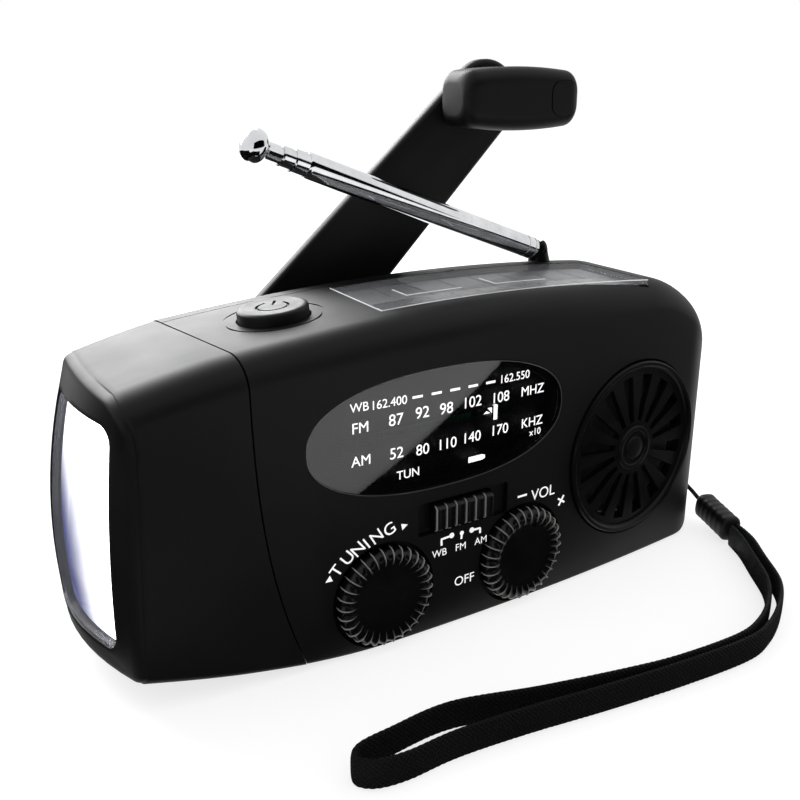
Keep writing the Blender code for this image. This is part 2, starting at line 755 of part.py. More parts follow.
def build_front_housing():
    shell = add_object("front_housing", housing_shell(), "soft_black")
    keep_inside(shell, half_space("front_half", -BODY_LENGTH, PARTING_Y - SEAT_GAP / 2))
    cut(shell, seam_tool("front_seam", SEAT_GAP / 2))
    join(shell, add_object("solar_tray_block", solar_slab(
        SOLAR_CELL_BORDER, -SOLAR_POCKET_DEPTH - SOLAR_TRAY_THICKNESS, -WALL / 2), "soft_black"))
    cut(shell, add_object("solar_pocket", solar_slab(SEAT_GAP, -SOLAR_POCKET_DEPTH, OVERRUN), "soft_black"))
    cut(shell, add_object("dial_opening", arc_panel(dial_outline(-DIAL_LEDGE), -OVERRUN, WALL + OVERRUN), "soft_black"))
    lens_seat = DIAL_LENS_SINK + DIAL_LENS_THICKNESS + SEAT_GAP
    cut(shell, add_object("dial_seat", arc_panel(dial_outline(SEAT_GAP), -OVERRUN, lens_seat), "soft_black"))
    for name, x in (("tuning", TUNING_X), ("volume", VOLUME_X)):
        recess = lathe([(DIAL_KNOB_RECESS_RADIUS, OVERRUN), (DIAL_KNOB_RECESS_RADIUS, -DIAL_KNOB_RECESS_DEPTH)],
                       LARGE_ROUND_SEGMENTS)
        cut(shell, front_tool(name + "_recess", x, DIAL_KNOB_Z, recess))
        bore = rod(DIAL_KNOB_STEM_RADIUS + SEAT_GAP, -WALL - OVERRUN, OVERRUN)
        cut(shell, front_tool(name + "_bore", x, DIAL_KNOB_Z, bore))
    recess = centred_box(BAND_RECESS_WIDTH, BAND_RECESS_HEIGHT, 2 * BAND_RECESS_DEPTH)
    cut(shell, front_tool("band_recess", BAND_X, BAND_Z, recess))
    slot = centred_box(BAND_SLOT_WIDTH, BAND_SLOT_HEIGHT, 2 * (WALL + OVERRUN))
    cut(shell, front_tool("band_slot", BAND_X, BAND_Z, slot))
    seat = rod(SPEAKER_RADIUS + SEAT_GAP, -GRILLE_THICKNESS - SEAT_GAP, OVERRUN, LARGE_ROUND_SEGMENTS)
    cut(shell, front_tool("grille_seat", SPEAKER_X, SPEAKER_Z, seat))
    hole = rod(SPEAKER_RADIUS - 2 * SPEAKER_RIM_WIDTH, -WALL - OVERRUN, OVERRUN, LARGE_ROUND_SEGMENTS)
    cut(shell, front_tool("speaker_hole", SPEAKER_X, SPEAKER_Z, hole))
    cut(shell, add_object("button_hole", rod(BUTTON_RADIUS + SEAT_GAP, -WALL - OVERRUN, OVERRUN), "soft_black", button_frame()))
    groove = tube(BUTTON_RING_RADIUS, BUTTON_RING_RADIUS - BUTTON_RING_WIDTH, -BUTTON_RING_DEPTH, OVERRUN,
                  LARGE_ROUND_SEGMENTS)
    cut(shell, add_object("button_groove", groove, "soft_black", button_frame()))
    add_front_posts(shell)
    add_strap_notch(shell)
    return shell


def add_front_posts(shell):
    """Posts for the main board, the power board and the screws."""
    for i, x in enumerate((BOARD_POST_LEFT_X, BOARD_POST_RIGHT_X)):
        for j, z in enumerate((BOARD_POST_LOW_Z, BOARD_POST_HIGH_Z)):
            start = front_y(x) + WALL / 2
            post = rod(BOARD_POST_RADIUS, start, BOARD_FRONT_Y - SEAT_GAP, SMALL_ROUND_SEGMENTS)
            join(shell, add_object(f"board_post_{i}{j}", post, "soft_black", rear_axis_frame(x, z)))
    for side in (-1, 1):
        x = side * (POWER_BOARD_WIDTH / 2 - BOARD_POST_RADIUS)
        post = rod(BOARD_POST_RADIUS, -power_board_depth() + SEAT_GAP, -WALL / 2, SMALL_ROUND_SEGMENTS)
        frame = button_frame() @ Matrix.Translation((x, 0, 0))
        join(shell, add_object(f"power_post_{side}", post, "soft_black", frame))
    for i, (x, z) in enumerate(face_places(SCREW_SHARES)):
        boss = rod(SCREW_BOSS_RADIUS, PARTING_Y - SCREW_BOSS_LENGTH, PARTING_Y - SEAT_GAP / 2, SMALL_ROUND_SEGMENTS)
        join(shell, add_object(f"front_boss_{i}", boss, "soft_black", rear_axis_frame(x, z)))
        wall_z = WALL / 2 if z < BODY_HEIGHT / 2 else top_z(x) - end_inset(x, END_TOP_RADIUS, WALL / 2)
        low, high = sorted((z, wall_z))
        rib = box_mesh((x - SCREW_RIB_WIDTH / 2, PARTING_Y - SCREW_BOSS_LENGTH + SEAT_GAP, low),
                       (x + SCREW_RIB_WIDTH / 2, PARTING_Y - SEAT_GAP, high))
        join(shell, add_object(f"boss_rib_{i}", rib, "soft_black"))
        bore = rod(SCREW_RADIUS + SCREW_GAP, PARTING_Y - SCREW_GRIP - SCREW_GAP, PARTING_Y + OVERRUN,
                   SMALL_ROUND_SEGMENTS)
        cut(shell, add_object(f"front_bore_{i}", bore, "soft_black", rear_axis_frame(x, z)))


def power_board_depth():
    """How far the power board's top lies under the button's place on the top."""
    return BUTTON_SKIRT + BUTTON_STEM_LENGTH + BUTTON_TRAVEL + SEAT_GAP + POWER_SWITCH_HEIGHT


def add_strap_notch(shell):
    """The notch in the right-hand end that the strap's post crosses."""
    x = BODY_LENGTH / 2
    notch = centred_box(2 * STRAP_NOTCH_DEPTH, STRAP_NOTCH_WIDTH, STRAP_NOTCH_HEIGHT, (x, STRAP_POST_Y, STRAP_POST_Z))
    pocket = centred_box(2 * (STRAP_NOTCH_DEPTH + WALL), STRAP_NOTCH_WIDTH + 2 * WALL, STRAP_NOTCH_HEIGHT + 2 * WALL,
                         (x, STRAP_POST_Y, STRAP_POST_Z))
    liner = add_object("strap_liner", pocket, "soft_black")
    keep_inside(liner, add_object("strap_liner_limit", skin(body_rings(WALL / 2)), "soft_black"))
    join(shell, liner)
    cut(shell, add_object("strap_notch", notch, "soft_black"))


def build_rear_housing():
    shell = add_object("rear_housing", housing_shell(), "soft_black")
    keep_inside(shell, half_space("rear_half", PARTING_Y + SEAT_GAP / 2, BODY_LENGTH))
    cut(shell, seam_tool("rear_seam", SEAT_GAP / 2))
    hub_floor = BODY_DEPTH / 2 + HUB_FACE_PROUD - HUB_FLANGE - SEAT_GAP
    add_hub_seat(shell, hub_floor)
    for i, (x, z) in enumerate(face_places(GEAR_POST_SHARES)):
        post = rod(GEAR_POST_RADIUS, gear_plate_rear() + SEAT_GAP, BODY_DEPTH / 2 - WALL / 2, SMALL_ROUND_SEGMENTS)
        join(shell, add_object(f"gear_post_{i}", post, "soft_black", rear_axis_frame(x, z)))
    for i, (x, z) in enumerate(face_places(SCREW_SHARES)):
        frame = rear_axis_frame(x, z)
        boss = rod(SCREW_BOSS_RADIUS, PARTING_Y + SEAT_GAP / 2, BODY_DEPTH / 2 - WALL / 2, SMALL_ROUND_SEGMENTS)
        join(shell, add_object(f"rear_boss_{i}", boss, "soft_black", frame))
        bore = rod(SCREW_RADIUS + SCREW_GAP, PARTING_Y - OVERRUN, BODY_DEPTH / 2 + OVERRUN, SMALL_ROUND_SEGMENTS)
        cut(shell, add_object(f"rear_bore_{i}", bore, "soft_black", frame))
        sink = rod(SCREW_HEAD_RADIUS + SEAT_GAP, BODY_DEPTH / 2 - SCREW_SINK, BODY_DEPTH / 2 + OVERRUN,
                   SMALL_ROUND_SEGMENTS)
        cut(shell, add_object(f"rear_sink_{i}", sink, "soft_black", frame))
    add_stow_pocket(shell)
    add_port_block(shell)
    add_antenna_seat(shell)
    return shell


def add_hub_seat(shell, hub_floor):
    """The round seat and bore that carry the crank's hub."""
    frame = rear_axis_frame(CRANK_PIVOT_X, CRANK_PIVOT_Z)
    boss = rod(HUB_RADIUS + WALL, hub_floor - WALL / 2, BODY_DEPTH / 2 - WALL / 4, LARGE_ROUND_SEGMENTS)
    join(shell, add_object("hub_boss", boss, "soft_black", frame))
    seat = rod(HUB_RADIUS + SEAT_GAP, hub_floor, BODY_DEPTH / 2 + OVERRUN, LARGE_ROUND_SEGMENTS)
    cut(shell, add_object("hub_seat", seat, "soft_black", frame))
    bore = rod(HUB_SHAFT_RADIUS + SEAT_GAP, hub_floor - OVERRUN, BODY_DEPTH / 2 + OVERRUN)
    cut(shell, add_object("hub_bore", bore, "soft_black", frame))


def stow_pocket_box(grow):
    """The pocket that takes the grip when the crank is folded away, grown on every side but the rear."""
    middle = CRANK_PIVOT_X + CRANK_LENGTH - GRIP_OFFSET
    half_width = GRIP_LENGTH / 2 + STOW_POCKET_CLEARANCE + grow
    half_height = GRIP_HEIGHT / 2 + STOW_POCKET_CLEARANCE + grow
    floor = CRANK_ARM_FRONT_Y - GRIP_GAP - GRIP_DEPTH - STOW_POCKET_CLEARANCE - grow
    rear = BODY_DEPTH / 2 + OVERRUN if grow == 0 else BODY_DEPTH / 2 - WALL / 4
    return box_mesh((middle - half_width, floor, CRANK_PIVOT_Z - half_height),
                    (middle + half_width, rear, CRANK_PIVOT_Z + half_height))


def add_stow_pocket(shell):
    liner = add_object("stow_liner", stow_pocket_box(WALL / 2), "soft_black")
    keep_inside(liner, add_object("stow_liner_limit", skin(body_rings(WALL / 4)), "soft_black"))
    join(shell, liner)
    cut(shell, add_object("stow_pocket", stow_pocket_box(0), "soft_black"))


def port_cover_gap():
    return PORT_COVER_DEPTH + SEAT_GAP


def add_port_block(shell):
    """The charging port's block, cover recess and socket bore."""
    rear = BODY_DEPTH / 2
    floor = rear - port_cover_gap()
    low = (PORT_X - PORT_WIDTH / 2 - WALL / 2, PARTING_Y + SEAT_GAP, PORT_Z - PORT_HEIGHT / 2 - WALL / 2)
    high = (PORT_X + PORT_WIDTH / 2 + WALL / 2, rear - WALL / 4, PORT_Z + PORT_HEIGHT / 2 + WALL / 2)
    join(shell, add_object("port_block", box_mesh(low, high), "soft_black"))
    recess = centred_box(PORT_WIDTH + 2 * SEAT_GAP, 2 * port_cover_gap(), PORT_HEIGHT + 2 * SEAT_GAP, (PORT_X, rear, PORT_Z))
    cut(shell, add_object("port_recess", recess, "soft_black"))
    bore = box_mesh((PORT_X - SOCKET_WIDTH / 2 - SEAT_GAP, PARTING_Y - OVERRUN, PORT_Z - SOCKET_HEIGHT / 2 - SEAT_GAP),
                    (PORT_X + SOCKET_WIDTH / 2 + SEAT_GAP, floor + WALL, PORT_Z + SOCKET_HEIGHT / 2 + SEAT_GAP))
    cut(shell, add_object("socket_bore", bore, "soft_black"))


def add_antenna_seat(shell):
    """The boss on the top edge that the antenna's foot turns in."""
    frame = Matrix.Translation((ANTENNA_X, ANTENNA_Y, 0))
    boss = rod(ANTENNA_SEAT_RADIUS, antenna_seat_z() - ANTENNA_SEAT_DEPTH, antenna_seat_z(), ROUND_SEGMENTS)
    join(shell, add_object("antenna_seat", boss, "soft_black", frame))
    bore = rod(ANTENNA_STEM_RADIUS + SEAT_GAP, antenna_seat_z() - ANTENNA_SEAT_DEPTH - OVERRUN,
               antenna_seat_z() + OVERRUN, SMALL_ROUND_SEGMENTS)
    cut(shell, add_object("antenna_bore", bore, "soft_black", frame))
    recess = rod(ANTENNA_FOOT_RADIUS + SEAT_GAP, antenna_seat_z(), BODY_HEIGHT + OVERRUN, ROUND_SEGMENTS)
    cut(shell, add_object("antenna_recess", recess, "soft_black", frame))


def antenna_seat_z():
    return top_z(ANTENNA_X) - ANTENNA_SEAT_SINK


def antenna_pivot():
    """The antenna's tilt pin, where it crosses the foot's axis."""
    return Vector((ANTENNA_X, ANTENNA_Y, antenna_seat_z() + ANTENNA_PIN_HEIGHT))


def build_screws():
    """The screws that clamp the rear housing to the front."""
    seat = BODY_DEPTH / 2 - SCREW_SINK + SEAT_GAP
    profile = [
        (0, PARTING_Y - SCREW_GRIP), (SCREW_RADIUS, PARTING_Y - SCREW_GRIP), (SCREW_RADIUS, seat),
        (SCREW_HEAD_RADIUS, seat), (SCREW_HEAD_RADIUS, seat + SCREW_HEAD_HEIGHT), (0, seat + SCREW_HEAD_HEIGHT),
    ]
    for i, (x, z) in enumerate(face_places(SCREW_SHARES)):
        add_object(f"housing_screw_{i + 1}", lathe(profile, SMALL_ROUND_SEGMENTS), "steel", rear_axis_frame(x, z))


def append_mesh(target, source):
    """Move source's faces into target."""
    source.verts.index_update()
    copies = [target.verts.new(vertex.co) for vertex in source.verts]
    for face in source.faces:
        target.faces.new([copies[vertex.index] for vertex in face.verts])
    source.free()


# Lamp head
def head_ring(share, inset, back=0):
    """A ring of the head at a share of the way from the seam to the end."""
    taper = max(0, (share - HEAD_TAPER_START_SHARE) / (1 - HEAD_TAPER_START_SHARE)) ** 1.5
    edges = body_edges(inset)
    start = SEAM_X + SEAM_LEAN + OVERRUN
    points = section(
        -BODY_DEPTH / 2 + HEAD_SIDE_TAPER * taper + inset,
        BODY_DEPTH / 2 - HEAD_SIDE_TAPER * taper - inset,
        bottom_rise(start + (END_CORNER_X - start) * share) + inset,
        BODY_HEIGHT - HEAD_TOP_DROP * taper - inset,
        edges,
        HEAD_SIDE_STEPS,
    )
    ring = []
    for y, z in points:
        x = start + (lamp_end_x(y, z) + back - start) * share
        ring.append(Vector((x, y, to_arch(x, z))))
    return ring


def window_ring(inset, back):
    """A ring round the lamp window, back behind the domed end face."""
    edge = [max(WINDOW_CORNER - inset, WINDOW_CORNER / 4)] * 4
    points = section(WINDOW_FRONT_Y + inset, WINDOW_REAR_Y - inset, WINDOW_BOTTOM_Z + inset, WINDOW_TOP_Z - inset,
                     edge, HEAD_SIDE_STEPS)
    return [Vector((lamp_end_x(y, z) + back, y, z)) for y, z in points]


def flat_ring(inset, x):
    return [Vector((x, point.y, point.z)) for point in window_ring(inset, 0)]


def build_head():
    """The flashlight head: a tapered open shell with a domed, windowed end."""
    outer = [head_ring(share, 0) for share in HEAD_STEP_SHARES]
    outer += [head_ring(share, HEAD_EDGE * edge) for share, edge in HEAD_END_SHARES]
    rings = outer + [window_ring(0, 0), window_ring(0, WALL), head_ring(1, HEAD_EDGE + WALL, WALL)]
    rings += [head_ring(share, WALL) for share in HEAD_STEP_SHARES[::-2]]
    head = add_object("flashlight_head", skin(rings, closed=True), "soft_black")
    return keep_inside(head, seam_tool("head_seam", -SEAT_GAP / 2))


def build_lens():
    """The curved lens: strips across the window, from its bottom to its top."""
    rings = []
    low = WINDOW_BOTTOM_Z + LENS_INSET
    high = WINDOW_TOP_Z - LENS_INSET
    for i in range(LENS_ROWS + 1):
        z = low + (high - low) * i / LENS_ROWS
        near_end = WINDOW_CORNER - min(z - low, high - z, WINDOW_CORNER)
        corner = WINDOW_CORNER - sqrt(WINDOW_CORNER ** 2 - near_end ** 2) * (1 - LENS_SQUARE_SHARE)
        front = WINDOW_FRONT_Y + LENS_INSET + corner
        rear = WINDOW_REAR_Y - LENS_INSET - corner
        ys = [front + (rear - front) * j / LENS_COLUMNS for j in range(LENS_COLUMNS + 1)]
        outside = [Vector((lamp_end_x(y, z) + SEAT_GAP, y, z)) for y in ys]
        inside = [Vector((lamp_end_x(y, z) + SEAT_GAP + LENS_THICKNESS, y, z)) for y in ys[::-1]]
        rings.append(outside + inside)
    mesh_data = skin(rings)
    bmesh.ops.triangulate(mesh_data, faces=mesh_data.faces)
    return mesh_data


def build_lamp():
    lens_front = SEAT_GAP
    add_object("lamp_lens", build_lens(), "clear")
    start = lens_front + LENS_THICKNESS + SEAT_GAP
    back = LENS_INSET + REFLECTOR_SHRINK
    reflector = skin([
        window_ring(LENS_INSET, start),
        flat_ring(back - REFLECTOR_WALL, REFLECTOR_BACK_X),
        flat_ring(back, REFLECTOR_BACK_X),
        window_ring(LENS_INSET + REFLECTOR_WALL, start),
    ], closed=True)
    add_object("lamp_reflector", reflector, "chrome")
    board_front = REFLECTOR_BACK_X + SEAT_GAP
    board = box_mesh((board_front, WINDOW_FRONT_Y, WINDOW_BOTTOM_Z),
                     (board_front + LAMP_BOARD_THICKNESS, WINDOW_REAR_Y, WINDOW_TOP_Z - WINDOW_CORNER))
    add_object("lamp_board", board, "board_green")
    dome = [(LED_RADIUS * cos(pi / 2 * i / 4), LED_HEIGHT - LED_RADIUS + LED_RADIUS * sin(pi / 2 * i / 4))
            for i in range(4)]
    for i in range(LED_COUNT):
        z = (WINDOW_BOTTOM_Z + WINDOW_TOP_Z) / 2 + (i - (LED_COUNT - 1) / 2) * LED_PITCH
        y = (WINDOW_FRONT_Y + WINDOW_REAR_Y) / 2
        led = lathe([(0, 0), (LED_RADIUS, 0)] + dome + [(0, LED_HEIGHT)], SMALL_ROUND_SEGMENTS)
        frame = axis_frame((REFLECTOR_BACK_X, y, z), (-1, 0, 0), (0, 1, 0))
        add_object(f"lamp_led_{i + 1}", led, "lamp_white", frame)


# Dial
def build_dial():
    window = arc_panel(dial_outline(0), DIAL_LENS_SINK, DIAL_LENS_SINK + DIAL_LENS_THICKNESS)
    add_object("dial_window", window, "smoke")
    front = WALL + SEAT_GAP
    plate = add_object("dial_plate", arc_panel(dial_outline(-DIAL_PLATE_INSET), front, front + DIAL_PLATE_THICKNESS),
                       "gloss_black")
    slot_middle = DIAL_X + (POINTER_SLOT_RIGHT_REACH - POINTER_SLOT_LEFT_REACH) / 2
    slot = centred_box(POINTER_SLOT_RIGHT_REACH + POINTER_SLOT_LEFT_REACH, POINTER_SLOT_HEIGHT, 2 * (front + OVERRUN))
    cut(plate, add_object("pointer_slot", slot, "soft_black", front_frame(slot_middle, POINTER_Z)))
    build_pointer(front)


def pointer_frame():
    """The pointer's frame: it slides along the dial's middle tangent."""
    frame = front_frame(DIAL_X, POINTER_Z)
    across = frame.to_3x3() @ Vector((1, 0, 0))
    run = (POINTER_X - DIAL_X) / across.x
    return Matrix.Translation(across * run) @ frame


def build_pointer(plate_front):
    lens_back = DIAL_LENS_SINK + DIAL_LENS_THICKNESS
    middle = -(lens_back + plate_front) / 2
    bar = centred_box(POINTER_WIDTH, POINTER_HEIGHT, POINTER_THICKNESS, (0, 0, middle))
    pointer = add_object("dial_pointer", bar, "white", pointer_frame())
    carriage_front = -plate_front - DIAL_PLATE_THICKNESS - 2 * SEAT_GAP
    neck_height = POINTER_SLOT_HEIGHT - 2 * SEAT_GAP
    neck = box_mesh((-POINTER_WIDTH / 3, -neck_height / 2, carriage_front - CARRIAGE_DEPTH / 2),
                    (POINTER_WIDTH / 3, neck_height / 2, middle))
    join(pointer, add_object("pointer_neck", neck, "white", pointer_frame()))
    carriage = box_mesh((-CARRIAGE_WIDTH / 2, -CARRIAGE_HEIGHT / 2, carriage_front - CARRIAGE_DEPTH),
                        (CARRIAGE_WIDTH / 2, CARRIAGE_HEIGHT / 2, carriage_front))
    join(pointer, add_object("pointer_carriage", carriage, "white", pointer_frame()))


# Knobs and switches
def knob_outline(radius, flute_depth):
    """A fluted circle: raised lands with narrow valleys between."""
    points = []
    step = tau / DIAL_KNOB_FLUTES
    for i in range(DIAL_KNOB_FLUTES):
        for share, depth in ((0.0, 0), (0.6, flute_depth)):
            angle = (i + share) * step
            points.append(Vector(((radius - depth) * cos(angle), (radius - depth) * sin(angle), 0)))
    return points


def at_height(points, z):
    return [Vector((point.x, point.y, z)) for point in points]


def build_rotary(name, x, body_name, body_finish):
    """A fluted knob on the front and the control that it turns."""
    frame = front_frame(x, DIAL_KNOB_Z)
    base = -DIAL_KNOB_RECESS_DEPTH + SEAT_GAP
    plain = DIAL_KNOB_FACE_RADIUS / DIAL_KNOB_RADIUS
    rings = [
        at_height(knob_outline(DIAL_KNOB_RADIUS, DIAL_KNOB_FLUTE_DEPTH), base),
        at_height(knob_outline(DIAL_KNOB_RADIUS, DIAL_KNOB_FLUTE_DEPTH), DIAL_KNOB_PROUD - DIAL_KNOB_BEVEL),
        at_height(knob_outline(DIAL_KNOB_RADIUS - DIAL_KNOB_BEVEL, DIAL_KNOB_FLUTE_DEPTH), DIAL_KNOB_PROUD),
        at_height(knob_outline(DIAL_KNOB_RADIUS * plain, 0), DIAL_KNOB_PROUD),
        at_height(knob_outline(DIAL_KNOB_RADIUS * plain, 0), DIAL_KNOB_PROUD - DIAL_KNOB_FACE_SINK),
    ]
    knob = add_object(name, skin(rings), "knob_black", frame)
    stem_end = -WALL - SEAT_GAP - DIAL_KNOB_STEM_LENGTH / 2
    stem = rod(DIAL_KNOB_STEM_RADIUS, stem_end, (base + DIAL_KNOB_PROUD) / 2)
    join(knob, add_object(name + "_stem", stem, "knob_black", frame))
    tilt = frame.to_3x3() @ Vector((0, 0, 1))
    room = BOARD_FRONT_Y - front_y(x) - WALL - 2 * SEAT_GAP - CONTROL_BODY_SIZE / 2 * abs(tilt.x)
    front = -WALL - SEAT_GAP
    body = centred_box(CONTROL_BODY_SIZE, CONTROL_BODY_SIZE, room, (0, 0, front - room / 2))
    control = add_object(body_name, body, body_finish, frame)
    bore = rod(DIAL_KNOB_STEM_RADIUS + SEAT_GAP, stem_end - SEAT_GAP, OVERRUN)
    cut(control, add_object(body_name + "_bore", bore, "soft_black", frame))


def build_band_switch():
    frame = front_frame(BAND_X, BAND_Z)
    base = -BAND_RECESS_DEPTH + SEAT_GAP
    rings = []
    half_width = SLIDER_WIDTH / 2
    half_height = SLIDER_HEIGHT / 2
    rib_pitch = SLIDER_WIDTH / (SLIDER_RIBS + 1)
    profile = [(-half_width, base), (-half_width, SLIDER_PROUD)]
    for i in range(SLIDER_RIBS):
        middle = (i - (SLIDER_RIBS - 1) / 2) * rib_pitch
        for share, height in ((-0.32, 0), (-0.16, SLIDER_RIB_HEIGHT), (0.16, SLIDER_RIB_HEIGHT), (0.32, 0)):
            profile.append((middle + share * rib_pitch, SLIDER_PROUD + height))
    profile += [(half_width, SLIDER_PROUD), (half_width, base)]
    for y in (-half_height, half_height):
        rings.append([Vector((x + SLIDER_OFFSET, y, z)) for x, z in profile])
    slider = add_object("band_slider", skin(rings), "knob_black", frame)
    stem_end = -WALL - SEAT_GAP - BAND_TRAVEL / 2
    stem = box_mesh((SLIDER_OFFSET - SLIDER_STEM_WIDTH / 2, -SLIDER_STEM_HEIGHT / 2, stem_end),
                    (SLIDER_OFFSET + SLIDER_STEM_WIDTH / 2, SLIDER_STEM_HEIGHT / 2, SLIDER_PROUD / 2))
    join(slider, add_object("slider_stem", stem, "knob_black", frame))
    tilt = frame.to_3x3() @ Vector((0, 0, 1))
    room = BOARD_FRONT_Y - front_y(BAND_X) - WALL - 2 * SEAT_GAP - BAND_BODY_WIDTH / 2 * abs(tilt.x)
    front = -WALL - SEAT_GAP
    body = centred_box(BAND_BODY_WIDTH, BAND_BODY_HEIGHT, room, (0, 0, front - room / 2))
    switch = add_object("band_switch", body, "steel", frame)
    slot = box_mesh((-BAND_SLOT_WIDTH / 2, -BAND_SLOT_HEIGHT / 2, stem_end - SEAT_GAP),
                    (BAND_SLOT_WIDTH / 2, BAND_SLOT_HEIGHT / 2, OVERRUN))
    cut(switch, add_object("band_switch_slot", slot, "soft_black", frame))


def build_power_button():
    frame = button_frame()
    flange_top = -WALL - SEAT_GAP
    edge = BUTTON_FLANGE
    profile = [
        (0, -BUTTON_SKIRT - BUTTON_STEM_LENGTH), (BUTTON_STEM_RADIUS, -BUTTON_SKIRT - BUTTON_STEM_LENGTH),
        (BUTTON_STEM_RADIUS, flange_top - BUTTON_FLANGE), (BUTTON_RADIUS + BUTTON_FLANGE, flange_top - BUTTON_FLANGE),
        (BUTTON_RADIUS + BUTTON_FLANGE, flange_top), (BUTTON_RADIUS, flange_top),
        (BUTTON_RADIUS, BUTTON_PROUD - edge), (BUTTON_RADIUS - edge * 0.3, BUTTON_PROUD - edge * 0.3),
        (BUTTON_RADIUS - edge, BUTTON_PROUD), (0, BUTTON_PROUD),
    ]
    add_object("power_button", lathe(profile, LARGE_ROUND_SEGMENTS), "rubber", frame)
    top = -power_board_depth()
    switch = box_mesh((-POWER_SWITCH_SIZE / 2, -POWER_SWITCH_SIZE / 2, top + SEAT_GAP),
                      (POWER_SWITCH_SIZE / 2, POWER_SWITCH_SIZE / 2, top + POWER_SWITCH_HEIGHT))
    add_object("power_switch", switch, "part_grey", frame)
    board = box_mesh((-POWER_BOARD_WIDTH / 2, -POWER_BOARD_DEPTH / 2, top - POWER_BOARD_THICKNESS),
                     (POWER_BOARD_WIDTH / 2, POWER_BOARD_DEPTH / 2, top))
    add_object("power_board", board, "board_green", frame)


# Speaker
def slot_cutters():
    """The grille's radial slots, as one set of separate prisms."""
    group = bmesh.new()
    for i in range(GRILLE_SLOTS):
        outline = [
            (GRILLE_SLOT_INNER, -GRILLE_SLOT_INNER_WIDTH / 2), (GRILLE_SLOT_OUTER, -GRILLE_SLOT_OUTER_WIDTH / 2),
            (GRILLE_SLOT_OUTER, GRILLE_SLOT_OUTER_WIDTH / 2), (GRILLE_SLOT_INNER, GRILLE_SLOT_INNER_WIDTH / 2),
        ]
        one = prism(outline, -GRILLE_THICKNESS - OVERRUN, OVERRUN)
        bmesh.ops.rotate(one, matrix=Matrix.Rotation(tau * (i + 0.5) / GRILLE_SLOTS, 3, "Z"), verts=one.verts)
        append_mesh(group, one)
    return group


def build_speaker():
    frame = front_frame(SPEAKER_X, SPEAKER_Z)
    rim = SPEAKER_RADIUS - SPEAKER_RIM_WIDTH
    profile = [
        (0, -GRILLE_THICKNESS), (SPEAKER_RADIUS, -GRILLE_THICKNESS), (SPEAKER_RADIUS, SPEAKER_RIM_PROUD),
        (rim, SPEAKER_RIM_PROUD), (rim, 0), (GRILLE_HUB_RADIUS, 0), (GRILLE_HUB_RADIUS, GRILLE_HUB_PROUD),
        (GRILLE_BUTTON_RADIUS * 1.4, GRILLE_HUB_PROUD), (GRILLE_BUTTON_RADIUS * 1.4, 0),
        (GRILLE_BUTTON_RADIUS, 0), (GRILLE_BUTTON_RADIUS, GRILLE_HUB_PROUD), (0, GRILLE_HUB_PROUD),
    ]
    grille = add_object("speaker_grille", lathe(profile, LARGE_ROUND_SEGMENTS), "gloss_black", frame)
    cut(grille, add_object("grille_slots", slot_cutters(), "soft_black", frame))
    front = -WALL - SEAT_GAP
    back = front - SPEAKER_FRAME_DEPTH
    wall = SPEAKER_FRAME_WALL
    neck = SPEAKER_MAGNET_RADIUS
    basket = lathe([
        (SPEAKER_FRAME_RADIUS, front), (SPEAKER_FRAME_RADIUS, front - wall), (neck, back), (neck - 2 * wall, back),
        (neck - 2 * wall, back + wall), (neck - wall / 2, back + wall),
        (SPEAKER_FRAME_RADIUS - 2 * wall, front - wall), (SPEAKER_FRAME_RADIUS - 2 * wall, front),
    ], ROUND_SEGMENTS, closed=True)
    add_object("speaker_frame", basket, "steel", frame)
    cone_edge = SPEAKER_FRAME_RADIUS - 2 * wall - 2 * SEAT_GAP
    cone_neck = neck / 2
    cone = lathe([
        (0, front - SPEAKER_CONE_DEPTH + wall), (cone_neck, front - SPEAKER_CONE_DEPTH),
        (cone_edge, front), (cone_edge, front - wall / 2),
        (cone_neck, front - SPEAKER_CONE_DEPTH - wall / 2), (0, front - SPEAKER_CONE_DEPTH),
    ], ROUND_SEGMENTS)
    add_object("speaker_cone", cone, "paper", frame)
    magnet = rod(SPEAKER_MAGNET_RADIUS, back - SEAT_GAP - SPEAKER_MAGNET_DEPTH, back - SEAT_GAP)
    add_object("speaker_magnet", magnet, "steel", frame)


# Solar panel, boards and power
def build_solar():
    add_object("solar_cover", solar_slab(0, -SOLAR_COVER_THICKNESS, 0), "clear")
    left = SOLAR_LEFT_X + SOLAR_CELL_BORDER
    right = SOLAR_RIGHT_X - SOLAR_CELL_BORDER
    pitch = (right - left) / SOLAR_CELL_COUNT
    low = -SOLAR_POCKET_DEPTH + SEAT_GAP
    high = low + SOLAR_CELL_THICKNESS
    upper = [(left, high)]
    for i in range(1, SOLAR_CELL_COUNT):
        for side, height in ((-1, high), (-1, high - SOLAR_CELL_SPLIT / 2), (1, high - SOLAR_CELL_SPLIT / 2), (1, high)):
            upper.append((left + i * pitch + side * SOLAR_CELL_SPLIT / 2, height))
    upper.append((right, high))
    lower = [(right - i * pitch, low) for i in range(SOLAR_CELL_COUNT + 1)]
    sides = (SOLAR_FRONT_Y + SOLAR_CELL_BORDER, SOLAR_REAR_Y - SOLAR_CELL_BORDER)
    rings = [[Vector((x, y, top_z(x) + z)) for x, z in upper + lower] for y in sides]
    add_object("solar_cells", skin(rings), "cell")


